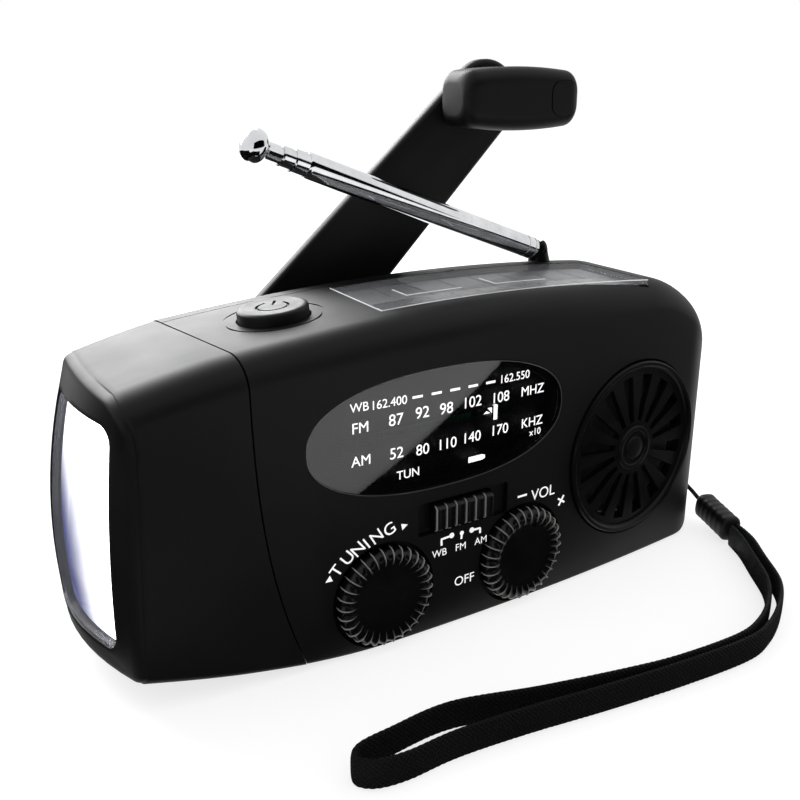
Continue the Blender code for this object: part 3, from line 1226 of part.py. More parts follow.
def build_boards():
    board = box_mesh((BOARD_LEFT_X, BOARD_FRONT_Y, BOARD_BOTTOM_Z),
                     (BOARD_RIGHT_X, BOARD_FRONT_Y + BOARD_THICKNESS, BOARD_TOP_Z))
    add_object("main_board", board, "board_green")
    battery_frame = axis_frame((BATTERY_X, BATTERY_Y, WALL + 2 * SEAT_GAP + BATTERY_RADIUS), (1, 0, 0), (0, 1, 0))
    half = BATTERY_LENGTH / 2
    profile = [
        (0, -half), (BATTERY_RADIUS, -half), (BATTERY_RADIUS, half - BATTERY_TERMINAL_LENGTH),
        (BATTERY_TERMINAL_RADIUS, half - BATTERY_TERMINAL_LENGTH), (BATTERY_TERMINAL_RADIUS, half), (0, half),
    ]
    add_object("battery_cell", lathe(profile), "cell_wrap", battery_frame)
    coil_outer = FERRITE_RADIUS + SEAT_GAP + COIL_THICKNESS
    lowest = min(top_z(FERRITE_X - COIL_LENGTH / 2), top_z(FERRITE_X + COIL_LENGTH / 2))
    height = lowest - SOLAR_POCKET_DEPTH - SOLAR_TRAY_THICKNESS - SEAT_GAP - coil_outer
    ferrite_frame = axis_frame((FERRITE_X, FERRITE_Y, height), (1, 0, 0), (0, 1, 0))
    ferrite = rod(FERRITE_RADIUS, -FERRITE_LENGTH / 2, FERRITE_LENGTH / 2, SMALL_ROUND_SEGMENTS)
    add_object("ferrite_rod", ferrite, "part_grey", ferrite_frame)
    coil = tube(coil_outer, FERRITE_RADIUS + SEAT_GAP, -COIL_LENGTH / 2, COIL_LENGTH / 2, SMALL_ROUND_SEGMENTS)
    add_object("ferrite_coil", coil, "copper", ferrite_frame)


def build_port():
    rear = BODY_DEPTH / 2
    floor = rear - port_cover_gap()
    socket = box_mesh((PORT_X - SOCKET_WIDTH / 2, floor - SOCKET_DEPTH, PORT_Z - SOCKET_HEIGHT / 2),
                      (PORT_X + SOCKET_WIDTH / 2, floor, PORT_Z + SOCKET_HEIGHT / 2))
    shell = add_object("charging_socket", socket, "steel")
    mouth = box_mesh((PORT_X - SOCKET_WIDTH / 2 + SOCKET_WALL, floor - SOCKET_DEPTH + SOCKET_WALL,
                      PORT_Z - SOCKET_HEIGHT / 2 + SOCKET_WALL),
                     (PORT_X + SOCKET_WIDTH / 2 - SOCKET_WALL, floor + OVERRUN, PORT_Z + SOCKET_HEIGHT / 2 - SOCKET_WALL))
    cut(shell, add_object("socket_mouth", mouth, "soft_black"))
    radius = PORT_COVER_DEPTH / 2
    steps = 8
    outline = [(radius * cos(pi + pi * i / steps), radius * sin(pi + pi * i / steps)) for i in range(steps + 1)]
    top = PORT_HEIGHT - radius
    outline += [(radius, top), (-radius, top)]
    hinge = axis_frame((PORT_X, rear - radius, PORT_Z - PORT_HEIGHT / 2 + radius), (1, 0, 0), (0, 1, 0))
    cover = prism(outline, -PORT_WIDTH / 2, PORT_WIDTH / 2)
    add_object("port_cover", cover, "rubber", hinge)


# Crank
def crank_frame():
    """The crank's frame: X along the arm, Y across it, Z toward the dial."""
    along = (cos(CRANK_ANGLE), 0, sin(CRANK_ANGLE))
    return axis_frame((CRANK_PIVOT_X, 0, CRANK_PIVOT_Z), (0, -1, 0), along)


def flip_pin_y():
    return CRANK_ARM_FRONT_Y + KNUCKLE_RADIUS


def flip_frame():
    """The flip pin's frame: Z along the pin, across the arm, X along the arm."""
    base = crank_frame()
    across = base.to_3x3() @ Vector((0, 1, 0))
    along = base.to_3x3() @ Vector((1, 0, 0))
    return axis_frame((CRANK_PIVOT_X, flip_pin_y(), CRANK_PIVOT_Z), across, along)


def grip_pivot():
    """The grip pin's place at the arm's tip."""
    base = crank_frame()
    return base @ Vector((CRANK_LENGTH, 0, -CRANK_ARM_FRONT_Y))


def build_hub():
    frame = rear_axis_frame(CRANK_PIVOT_X, CRANK_PIVOT_Z)
    face = BODY_DEPTH / 2 + HUB_FACE_PROUD
    profile = [
        (0, gear_plate_rear() - GEAR_PLATE_THICKNESS), (HUB_SHAFT_RADIUS, gear_plate_rear() - GEAR_PLATE_THICKNESS),
        (HUB_SHAFT_RADIUS, face - HUB_FLANGE), (HUB_RADIUS, face - HUB_FLANGE), (HUB_RADIUS, face), (0, face),
    ]
    hub = add_object("crank_hub", lathe(profile, LARGE_ROUND_SEGMENTS), "soft_black", frame)
    inner = KNUCKLE_HALF_WIDTH + LUG_GAP
    drop = flip_pin_y() - face + HUB_FLANGE / 2
    outline = [(KNUCKLE_RADIUS * cos(pi * i / 8), KNUCKLE_RADIUS * sin(pi * i / 8)) for i in range(9)]
    outline += [(-KNUCKLE_RADIUS, -drop), (KNUCKLE_RADIUS, -drop)]
    for side in (-1, 1):
        low, high = sorted((side * inner, side * (inner + LUG_WIDTH)))
        lug = prism(outline, low, high)
        join(hub, add_object(f"hub_lug_{side}", lug, "soft_black", flip_frame()))
    reach = inner + LUG_WIDTH + OVERRUN
    bore = rod(FLIP_PIN_RADIUS + FLIP_PIN_GAP, -reach, reach, SMALL_ROUND_SEGMENTS)
    cut(hub, add_object("hub_pin_bore", bore, "soft_black", flip_frame()))
    reach = inner + LUG_WIDTH
    pin = rod(FLIP_PIN_RADIUS, -reach, reach, SMALL_ROUND_SEGMENTS)
    add_object("crank_flip_pin", pin, "steel", flip_frame())


def arm_outline():
    """The arm's tapered outline, from its squared root to its round tip."""
    steps = 12
    points = [(CRANK_ROOT_START, -CRANK_ROOT_HALF_WIDTH)]
    lean = (CRANK_ROOT_HALF_WIDTH - CRANK_TIP_RADIUS) / (CRANK_LENGTH - CRANK_ROOT_START)
    for i in range(steps + 1):
        angle = -pi / 2 + lean + (pi - 2 * lean) * i / steps
        points.append((CRANK_LENGTH + CRANK_TIP_RADIUS * cos(angle), CRANK_TIP_RADIUS * sin(angle)))
    points.append((CRANK_ROOT_START, CRANK_ROOT_HALF_WIDTH))
    return points


def build_arm():
    pin_depth = KNUCKLE_RADIUS - CRANK_ARM_THICKNESS
    plate = prism(arm_outline(), pin_depth, KNUCKLE_RADIUS)
    frame = crank_frame()
    frame.translation = flip_frame().translation
    arm = add_object("crank_arm", plate, "soft_black", frame)
    soften(arm, CRANK_BEVEL)
    inset = CRANK_BEVEL / 4
    neck = box_mesh((0, inset - KNUCKLE_HALF_WIDTH, pin_depth + inset),
                    (CRANK_ROOT_START + OVERRUN, KNUCKLE_HALF_WIDTH - inset, KNUCKLE_RADIUS - inset))
    join(arm, add_object("arm_neck", neck, "soft_black", frame))
    barrel = rod(KNUCKLE_RADIUS, -KNUCKLE_HALF_WIDTH, KNUCKLE_HALF_WIDTH, ROUND_SEGMENTS)
    join(arm, add_object("arm_barrel", barrel, "soft_black", flip_frame()))
    reach = KNUCKLE_HALF_WIDTH + OVERRUN
    bore = rod(FLIP_PIN_RADIUS + FLIP_PIN_GAP, -reach, reach, SMALL_ROUND_SEGMENTS)
    cut(arm, add_object("arm_pin_bore", bore, "soft_black", flip_frame()))
    rivet_frame = axis_frame(grip_pivot(), (0, 1, 0), (1, 0, 0))
    hole = rod(GRIP_RIVET_RADIUS + GRIP_RIVET_GAP, -OVERRUN, CRANK_ARM_THICKNESS + OVERRUN, SMALL_ROUND_SEGMENTS)
    cut(arm, add_object("arm_rivet_bore", hole, "soft_black", rivet_frame))
    head = CRANK_ARM_THICKNESS + SEAT_GAP
    profile = [
        (0, -GRIP_GAP - GRIP_RIVET_DEPTH), (GRIP_RIVET_RADIUS, -GRIP_GAP - GRIP_RIVET_DEPTH), (GRIP_RIVET_RADIUS, head),
        (GRIP_RIVET_HEAD, head), (GRIP_RIVET_HEAD, head + GRIP_RIVET_HEAD_HEIGHT), (0, head + GRIP_RIVET_HEAD_HEIGHT),
    ]
    add_object("grip_rivet", lathe(profile, SMALL_ROUND_SEGMENTS), "steel", rivet_frame)
    build_grip(rivet_frame)


def build_grip(rivet_frame):
    """The oblong grip: a barrel-shaped block that spins on the rivet."""
    station_shares = ((-0.5, 1.0), (-0.47, 0.5), (-0.42, 0.15), (-0.33, 0.0), (0.0, 0.0), (0.33, 0.0), (0.42, 0.15),
                      (0.47, 0.5), (0.5, 1.0))
    rings = []
    for along, edge in station_shares:
        swell = 1 - (2 * along) ** 2
        inset = GRIP_EDGE * 0.7 * edge
        half_height = (GRIP_END_HEIGHT + (GRIP_HEIGHT - GRIP_END_HEIGHT) * swell) / 2 - inset
        front = -GRIP_GAP - GRIP_DEPTH + inset
        rear = -GRIP_GAP - inset
        ring = []
        for y, z in rounded_loop(front, rear, -half_height, half_height, GRIP_EDGE):
            ring.append(Vector((along * GRIP_LENGTH + GRIP_OFFSET, -z, y)))
        rings.append(ring)
    grip = add_object("crank_grip", skin(rings), "soft_black", rivet_frame)
    bore = rod(GRIP_RIVET_RADIUS + GRIP_RIVET_GAP, -GRIP_GAP - GRIP_RIVET_DEPTH - SEAT_GAP, OVERRUN, SMALL_ROUND_SEGMENTS)
    cut(grip, add_object("grip_bore", bore, "soft_black", rivet_frame))


def rounded_loop(left, right, low, high, radius):
    """A rounded rectangle as a loop of points."""
    steps = 4
    points = []
    corners = ((left, low, 1, 1, pi), (right, low, -1, 1, 1.5 * pi), (right, high, -1, -1, 0), (left, high, 1, -1, 0.5 * pi))
    for x, y, inward_x, inward_y, start in corners:
        for step in range(steps + 1):
            angle = start + 0.5 * pi * step / steps
            points.append((x + inward_x * radius + radius * cos(angle), y + inward_y * radius + radius * sin(angle)))
    return points


# Gear train and dynamo
def gear_plate_rear():
    return GEAR_REAR_Y - 2 * GEAR_THICKNESS - 2 * GEAR_LAYER_GAP


def mesh_place(origin, teeth, other_teeth, angle):
    """Where a gear's centre lies when it meshes at angle."""
    reach = GEAR_MODULE * (teeth + other_teeth) / 2
    return origin[0] + reach * cos(angle), origin[1] + reach * sin(angle)


def crank_centre():
    return CRANK_PIVOT_X, CRANK_PIVOT_Z


def idler_centre():
    return mesh_place(crank_centre(), CRANK_GEAR_TEETH, IDLER_PINION_TEETH, IDLER_ANGLE)


def rotor_centre():
    return mesh_place(idler_centre(), IDLER_WHEEL_TEETH, ROTOR_PINION_TEETH, ROTOR_ANGLE)


def gear_outline(teeth, phase):
    """Flat-flanked teeth with clearance, the first tooth centred on phase."""
    pitch_radius = GEAR_MODULE * teeth / 2
    addendum = GEAR_ADDENDUM_SHARE * GEAR_MODULE
    dedendum = GEAR_MODULE
    half = pi * GEAR_MODULE / 4 * (1 - 2 * GEAR_BACKLASH_SHARE)
    points = []
    for i in range(teeth):
        middle = phase + tau * i / teeth
        for side in (-1, 1):
            offsets = ((-dedendum, half + GEAR_FLANK_SHARE * dedendum), (addendum, half - GEAR_FLANK_SHARE * addendum))
            for height, width in offsets if side == -1 else offsets[::-1]:
                radius = pitch_radius + height
                angle = middle + side * width / radius
                points.append((radius * cos(angle), radius * sin(angle)))
    return points


def gear_frame(centre):
    """A gear's frame: X along world X, Y up, Z toward the dial."""
    return axis_frame((centre[0], 0, centre[1]), (0, -1, 0), (1, 0, 0))


def build_gears():
    first_low, first_high = -GEAR_REAR_Y, -GEAR_REAR_Y + GEAR_THICKNESS
    second_low = first_high + GEAR_LAYER_GAP
    second_high = second_low + GEAR_THICKNESS
    wheel = add_object("crank_gear", prism(gear_outline(CRANK_GEAR_TEETH, IDLER_ANGLE), first_low, first_high),
                       "gear_ivory", gear_frame(crank_centre()))
    bore = rod(HUB_SHAFT_RADIUS + AXLE_GAP, first_low - OVERRUN, first_high + OVERRUN)
    cut(wheel, add_object("crank_gear_bore", bore, "soft_black", gear_frame(crank_centre())))
    idler_frame = gear_frame(idler_centre())
    phase = IDLER_ANGLE + pi + pi / IDLER_PINION_TEETH
    idler = add_object("idler_gear", prism(gear_outline(IDLER_PINION_TEETH, phase), first_low, second_low + GEAR_THICKNESS / 2),
                       "gear_ivory", idler_frame)
    large = prism(gear_outline(IDLER_WHEEL_TEETH, ROTOR_ANGLE), second_low, second_high)
    join(idler, add_object("idler_wheel", large, "gear_ivory", idler_frame))
    bore = rod(AXLE_RADIUS + AXLE_GAP, first_low - OVERRUN, second_high + OVERRUN, SMALL_ROUND_SEGMENTS)
    cut(idler, add_object("idler_bore", bore, "soft_black", idler_frame))
    axle = rod(AXLE_RADIUS, -BODY_DEPTH / 2 + WALL + SEAT_GAP, -gear_plate_rear() + GEAR_PLATE_THICKNESS, SMALL_ROUND_SEGMENTS)
    add_object("idler_axle", axle, "steel", idler_frame)
    build_dynamo(second_low, second_high)
    build_gear_plate()


def build_dynamo(pinion_low, pinion_high):
    frame = gear_frame(rotor_centre())
    phase = ROTOR_ANGLE + pi + pi / ROTOR_PINION_TEETH
    rotor = add_object("dynamo_rotor", prism(gear_outline(ROTOR_PINION_TEETH, phase), pinion_low, pinion_high),
                       "steel", frame)
    can_rear = -gear_plate_rear() + GEAR_PLATE_THICKNESS + SEAT_GAP
    can_front = can_rear + DYNAMO_LENGTH
    magnet_low = can_rear + DYNAMO_WALL
    magnet_high = can_front - 2 * DYNAMO_WALL
    shaft = lathe([
        (0, pinion_low + GEAR_THICKNESS / 2), (AXLE_RADIUS, pinion_low + GEAR_THICKNESS / 2), (AXLE_RADIUS, magnet_low),
        (DYNAMO_MAGNET_RADIUS, magnet_low), (DYNAMO_MAGNET_RADIUS, magnet_high), (0, magnet_high),
    ], ROUND_SEGMENTS)
    join(rotor, add_object("rotor_magnet", shaft, "steel", frame))
    can = lathe([
        (DYNAMO_RADIUS, can_rear), (DYNAMO_RADIUS, can_front), (0, can_front), (0, can_front - DYNAMO_WALL),
        (DYNAMO_RADIUS - DYNAMO_WALL, can_front - DYNAMO_WALL), (DYNAMO_RADIUS - DYNAMO_WALL, can_rear),
    ], ROUND_SEGMENTS, closed=True)
    add_object("dynamo_can", can, "steel", frame)


def build_gear_plate():
    """A plate round the posts, shafts and dynamo, with their holes."""
    mesh_data = bmesh.new()
    rear = gear_plate_rear()
    spots = [*face_places(GEAR_POST_SHARES), crank_centre(), rotor_centre()]
    for x, z in spots:
        for across, up in circle(GEAR_PLATE_MARGIN, SMALL_ROUND_SEGMENTS, (x, z)):
            for y in (rear - GEAR_PLATE_THICKNESS, rear):
                mesh_data.verts.new((across, y, up))
    hull = bmesh.ops.convex_hull(mesh_data, input=mesh_data.verts)
    spare = [item for item in hull["geom_interior"] + hull["geom_unused"] if isinstance(item, bmesh.types.BMVert)]
    bmesh.ops.delete(mesh_data, geom=list(set(spare)), context="VERTS")
    plate = add_object("gear_plate", mesh_data, "steel")
    holes = (
        (crank_centre(), HUB_SHAFT_RADIUS + AXLE_GAP), (idler_centre(), AXLE_RADIUS + AXLE_GAP),
        (rotor_centre(), ROTOR_HOLE_RADIUS),
    )
    for i, (centre, radius) in enumerate(holes):
        hole = rod(radius, -rear - OVERRUN, -rear + GEAR_PLATE_THICKNESS + OVERRUN, SMALL_ROUND_SEGMENTS)
        cut(plate, add_object(f"plate_hole_{i}", hole, "soft_black", gear_frame(centre)))


# Antenna
def antenna_heading():
    return Vector((cos(ANTENNA_TURN), sin(ANTENNA_TURN), 0))


def antenna_frame():
    """The antenna's frame at its tilt pin: Z along the rods, X along the pin."""
    flat = antenna_heading()
    along = flat * cos(ANTENNA_RISE) + Vector((0, 0, sin(ANTENNA_RISE)))
    pin = flat.cross(Vector((0, 0, 1)))
    return axis_frame(antenna_pivot(), along, pin)


def build_antenna_foot():
    frame = Matrix.Translation(antenna_pivot())
    bottom = SEAT_GAP - ANTENNA_PIN_HEIGHT
    crown = ANTENNA_POST_CROWN
    profile = [
        (0, bottom - ANTENNA_STEM_LENGTH), (ANTENNA_STEM_RADIUS, bottom - ANTENNA_STEM_LENGTH),
        (ANTENNA_STEM_RADIUS, bottom), (ANTENNA_FOOT_RADIUS, bottom), (ANTENNA_POST_RADIUS, 0),
    ]
    profile += [(ANTENNA_POST_RADIUS * wide, crown * tall) for wide, tall in ANTENNA_DOME_SHARES]
    profile.append((0, crown))
    foot = add_object("antenna_foot", lathe(profile), "gloss_black", frame)
    flat = antenna_heading()
    slot_frame = axis_frame(antenna_pivot(), (0, 0, 1), flat)
    half = ANTENNA_TONGUE_WIDTH / 2 + ANTENNA_SLOT_GAP
    reach = ANTENNA_FOOT_RADIUS + OVERRUN
    floor = -ANTENNA_TONGUE_HALF_HEIGHT - SEAT_GAP
    cut(foot, add_object("foot_slot", box_mesh((-reach, -half, floor), (reach, half, reach)), "soft_black", slot_frame))
    pin_frame = axis_frame(antenna_pivot(), flat.cross(Vector((0, 0, 1))), flat)
    bore = rod(ANTENNA_PIN_RADIUS + ANTENNA_PIN_GAP, -reach, reach, SMALL_ROUND_SEGMENTS)
    cut(foot, add_object("foot_pin_bore", bore, "soft_black", pin_frame))
    pin = rod(ANTENNA_PIN_RADIUS, -ANTENNA_POST_RADIUS, ANTENNA_POST_RADIUS, SMALL_ROUND_SEGMENTS)
    add_object("antenna_pin", pin, "chrome", pin_frame)


def section_radius(index):
    """The outer radius of rod section index, where 0 is the main tube."""
    return ANTENNA_TUBE_RADIUS - index * (ANTENNA_TUBE_WALL + ANTENNA_SLIDE_GAP)


def section_tops():
    """How far from the tilt pin each section's visible end lies."""
    top = ANTENNA_BALL_REACH - ANTENNA_BALL_HALF_LENGTH - sum(ANTENNA_STUB_LENGTHS)
    tops = [top]
    for stub in ANTENNA_STUB_LENGTHS:
        top += stub
        tops.append(top)
    return tops


def build_antenna_rods():
    frame = antenna_frame()
    tops = section_tops()
    radius = section_radius(0)
    inner = radius - ANTENNA_TUBE_WALL
    start = ANTENNA_TUBE_START
    groove = radius - ANTENNA_TUBE_WALL / 2
    bore_floor = start + ANTENNA_COLLAR
    profile = [(0, start), (radius, start)]
    width = ANTENNA_SLIDE_GAP
    for place in ANTENNA_GROOVE_REACHES:
        profile += [(radius, place - width), (groove, place - width), (groove, place + width), (radius, place + width)]
    profile += [(radius, tops[0]), (inner, tops[0]), (inner, bore_floor), (0, bore_floor)]
    tube_object = add_object("antenna_tube", lathe(profile), "chrome", frame)
    half = ANTENNA_TONGUE_HALF_HEIGHT
    outline = [(half * cos(pi + pi * i / 8), half * sin(pi + pi * i / 8)) for i in range(9)]
    outline += [(half, start + ANTENNA_COLLAR / 2), (-half, start + ANTENNA_COLLAR / 2)]
    tongue = prism([(y, x) for x, y in outline], -ANTENNA_TONGUE_WIDTH / 2, ANTENNA_TONGUE_WIDTH / 2)
    origin = frame.translation
    pin_axis = frame.to_3x3() @ Vector((1, 0, 0))
    along = frame.to_3x3() @ Vector((0, 0, 1))
    tongue_frame = axis_frame(origin, pin_axis, along)
    join(tube_object, add_object("antenna_tongue", tongue, "chrome", tongue_frame))
    reach = ANTENNA_TONGUE_WIDTH + OVERRUN
    bore = rod(ANTENNA_PIN_RADIUS + ANTENNA_PIN_GAP, -reach, reach, SMALL_ROUND_SEGMENTS)
    cut(tube_object, add_object("tongue_bore", bore, "soft_black", tongue_frame))
    for index in (1, 2):
        outer = section_radius(index)
        low = ANTENNA_SECTION_BOTTOM + (index - 1) * ANTENNA_COLLAR / 2
        rod_mesh = tube(outer, outer - ANTENNA_TUBE_WALL, low, tops[index])
        add_object(f"antenna_section_{index}", rod_mesh, "chrome", frame)
    build_antenna_tip(frame, tops)


def build_antenna_tip(frame, tops):
    radius = section_radius(3)
    low = ANTENNA_SECTION_BOTTOM + ANTENNA_COLLAR
    steps = 6
    start_angle = -pi / 2 + atan2(radius, ANTENNA_BALL_RADIUS)
    profile = [(0, low), (radius, low), (radius, tops[3])]
    for i in range(1, steps):
        angle = start_angle + (pi / 2 - start_angle) * i / steps
        profile.append((ANTENNA_BALL_RADIUS * cos(angle), ANTENNA_BALL_REACH + ANTENNA_BALL_HALF_LENGTH * sin(angle)))
    profile.append((0, ANTENNA_BALL_REACH + ANTENNA_BALL_HALF_LENGTH))
    add_object("antenna_tip", lathe(profile), "chrome", frame)


# Wrist strap
def smooth_route(points, steps):
    """Catmull-Rom points through a hand-chosen route."""
    route = []
    count = len(points)
    for i in range(count - 1):
        before = points[max(i - 1, 0)]
        here = points[i]
        there = points[i + 1]
        after = points[min(i + 2, count - 1)]
        for step in range(steps):
            t = step / steps
            route.append(0.5 * (2 * here + (there - before) * t + (2 * before - 5 * here + 4 * there - after) * t ** 2
                                + (3 * here - before - 3 * there + after) * t ** 3))
    route.append(points[-1])
    return route


def build_strap():
    middle_z = STRAP_FLOOR_GAP + STRAP_WIDTH / 2
    route = smooth_route([Vector((x, y, middle_z)) for x, y in STRAP_ROUTE], STRAP_STEPS_PER_POINT)
    rings = []
    for i, point in enumerate(route):
        ahead = route[min(i + 1, len(route) - 1)] - route[max(i - 1, 0)]
        across = Vector((-ahead.y, ahead.x, 0)).normalized() * STRAP_THICKNESS / 2
        up = Vector((0, 0, STRAP_WIDTH / 2))
        rings.append([point - across - up, point + across - up, point + across + up, point - across + up])
    add_object("strap_ribbon", skin(rings), "webbing")
    start = Vector(STRAP_TAB_START)
    end = Vector(STRAP_TAB_END)
    tab_frame = axis_frame((start + end) / 2, end - start, (0, 0, 1))
    length = (end - start).length
    tab = centred_box(STRAP_TAB_HEIGHT, STRAP_TAB_WIDTH, length)
    soften(add_object("strap_tab", tab, "gloss_black", tab_frame), STRAP_TAB_EDGE)
    build_strap_string(start, (start - end).normalized())


def strap_post_x():
    return BODY_LENGTH / 2 - STRAP_NOTCH_DEPTH / 2 + STRAP_POST_RADIUS


def build_strap_string(tab_start, outward):
    """The thin string from the tab to its turn round the post, and the post."""
    post = Vector((strap_post_x(), STRAP_POST_Y, STRAP_POST_Z))
    turn_radius = STRAP_POST_RADIUS + STRING_RADIUS + SEAT_GAP + SEAT_GAP
    first = tab_start + outward * (SEAT_GAP + STRING_RADIUS)
    mouth = post + Vector((BODY_LENGTH / 2 - post.x + STRAP_POST_RADIUS, -STRAP_NOTCH_WIDTH / 3, 0))
    points = [first, first.lerp(mouth, 0.5) + Vector((STRING_RADIUS, 0, 0)), mouth]
    for degrees in (20, 70, 120, 170, 220):
        angle = radians(degrees)
        points.append(post + Vector((turn_radius * cos(angle), turn_radius * sin(angle), 0)))
    rings = []
    route = smooth_route(points, 3)
    for i, point in enumerate(route):
        ahead = route[min(i + 1, len(route) - 1)] - route[max(i - 1, 0)]
        frame = axis_frame(point, ahead, (0, 0, 1))
        rings.append([frame @ Vector((x, y, 0)) for x, y in circle(STRING_RADIUS, 6)])
    add_object("strap_string", skin(rings), "webbing")
    reach = STRAP_NOTCH_HEIGHT / 2 - SEAT_GAP
    add_object("strap_post", rod(STRAP_POST_RADIUS, -reach, reach, SMALL_ROUND_SEGMENTS), "steel",
               Matrix.Translation(post))


def main():
    clear_scene()
    build_front_housing()
    build_rear_housing()
    build_screws()
    build_head()
    build_lamp()
    build_dial()
    build_rotary("tuning_knob", TUNING_X, "tuning_capacitor", "part_grey")
    build_rotary("volume_knob", VOLUME_X, "volume_potentiometer", "steel")
    build_band_switch()
    build_power_button()
    build_speaker()
    build_solar()
    build_boards()
    build_port()
    build_hub()
    build_arm()
    build_gears()
    build_antenna_foot()
    build_antenna_rods()
    build_strap()


main()
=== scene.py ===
"""Wind-up emergency radio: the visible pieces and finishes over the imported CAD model.

X runs along the body with the lamp at -X, the dial faces -Y and Z is up. Lengths are metres.
"""

import json
import logging
from collections.abc import Iterable, Sequence
from dataclasses import dataclass
from enum import Enum
from math import asin, atan2, cos, hypot, pi, radians, sin, sqrt, tau

import bmesh
import bpy
from mathutils import Matrix, Vector
from mathutils.bvhtree import BVHTree
from mathutils.interpolate import poly_3d_calc

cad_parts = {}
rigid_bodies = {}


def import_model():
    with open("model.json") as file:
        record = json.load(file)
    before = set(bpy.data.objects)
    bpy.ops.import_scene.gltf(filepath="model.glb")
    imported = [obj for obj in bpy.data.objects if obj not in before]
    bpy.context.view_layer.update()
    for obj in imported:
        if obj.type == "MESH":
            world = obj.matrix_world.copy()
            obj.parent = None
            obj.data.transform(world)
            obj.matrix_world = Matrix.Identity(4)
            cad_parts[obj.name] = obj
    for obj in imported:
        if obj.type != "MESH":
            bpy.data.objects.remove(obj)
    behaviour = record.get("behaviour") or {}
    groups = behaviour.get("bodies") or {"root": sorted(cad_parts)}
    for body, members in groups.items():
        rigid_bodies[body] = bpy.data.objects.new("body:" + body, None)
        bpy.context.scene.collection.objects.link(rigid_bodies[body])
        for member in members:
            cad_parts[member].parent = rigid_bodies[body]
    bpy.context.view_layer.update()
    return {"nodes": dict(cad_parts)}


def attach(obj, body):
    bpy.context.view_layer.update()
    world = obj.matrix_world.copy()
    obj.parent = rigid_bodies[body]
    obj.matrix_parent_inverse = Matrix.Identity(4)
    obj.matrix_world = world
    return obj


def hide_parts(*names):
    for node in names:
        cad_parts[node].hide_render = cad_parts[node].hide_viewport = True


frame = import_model()
LOG = logging.getLogger("radio")
logging.basicConfig(level=logging.INFO, format="%(message)s")

MM = 0.001
GAP = 0.3 * MM
Point = tuple[float, float, float]
Ring = list[Vector]


class Body(Enum):
    """The moving bodies that the pieces ride on."""

    HOUSING = "housing"
    CRANK_BASE = "crank_base"
    CRANK_LEVER = "crank_lever"
    CRANK_HANDLE = "crank_handle"
    ANTENNA_BASE = "antenna_base"
    ANTENNA_MAIN = "antenna_main"
    ANTENNA_MIDDLE_1 = "antenna_middle_1"
    ANTENNA_MIDDLE_2 = "antenna_middle_2"
    ANTENNA_END = "antenna_end"
    TUNING = "tuning"
    POINTER = "pointer"
    VOLUME = "volume"
    BAND = "band"
    POWER = "power"
    PORT_FLAP = "port_flap"


# Node and colour helpers
def linear(code: str) -> tuple[float, float, float, float]:
    """Turn an sRGB hex code into a linear colour.

    Args:
        code: The colour as "#rrggbb".

    Returns:
        The linear colour with an alpha of one.
    """
    values = [int(code[i:i + 2], 16) / 255 for i in (1, 3, 5)]
    red, green, blue = (v / 12.92 if v <= 0.04045 else ((v + 0.055) / 1.055) ** 2.4 for v in values)
    return red, green, blue, 1.0


def add_node(tree: bpy.types.NodeTree, kind: str, settings: dict | None = None,
             inputs: dict | None = None) -> bpy.types.Node:
    """Add a node with its settings, values and links.

    Args:
        tree: The node tree that takes the node.
        kind: The node's type name.
        settings: Properties of the node, by name.
        inputs: Values or linked sockets for the node's inputs, by name or number.

    Returns:
        The new node.
    """
    node = tree.nodes.new(kind)
    for key, value in (settings or {}).items():
        setattr(node, key, value)
    for key, value in (inputs or {}).items():
        if isinstance(value, bpy.types.NodeSocket):
            tree.links.new(value, node.inputs[key])
        else:
            node.inputs[key].default_value = value
    return node


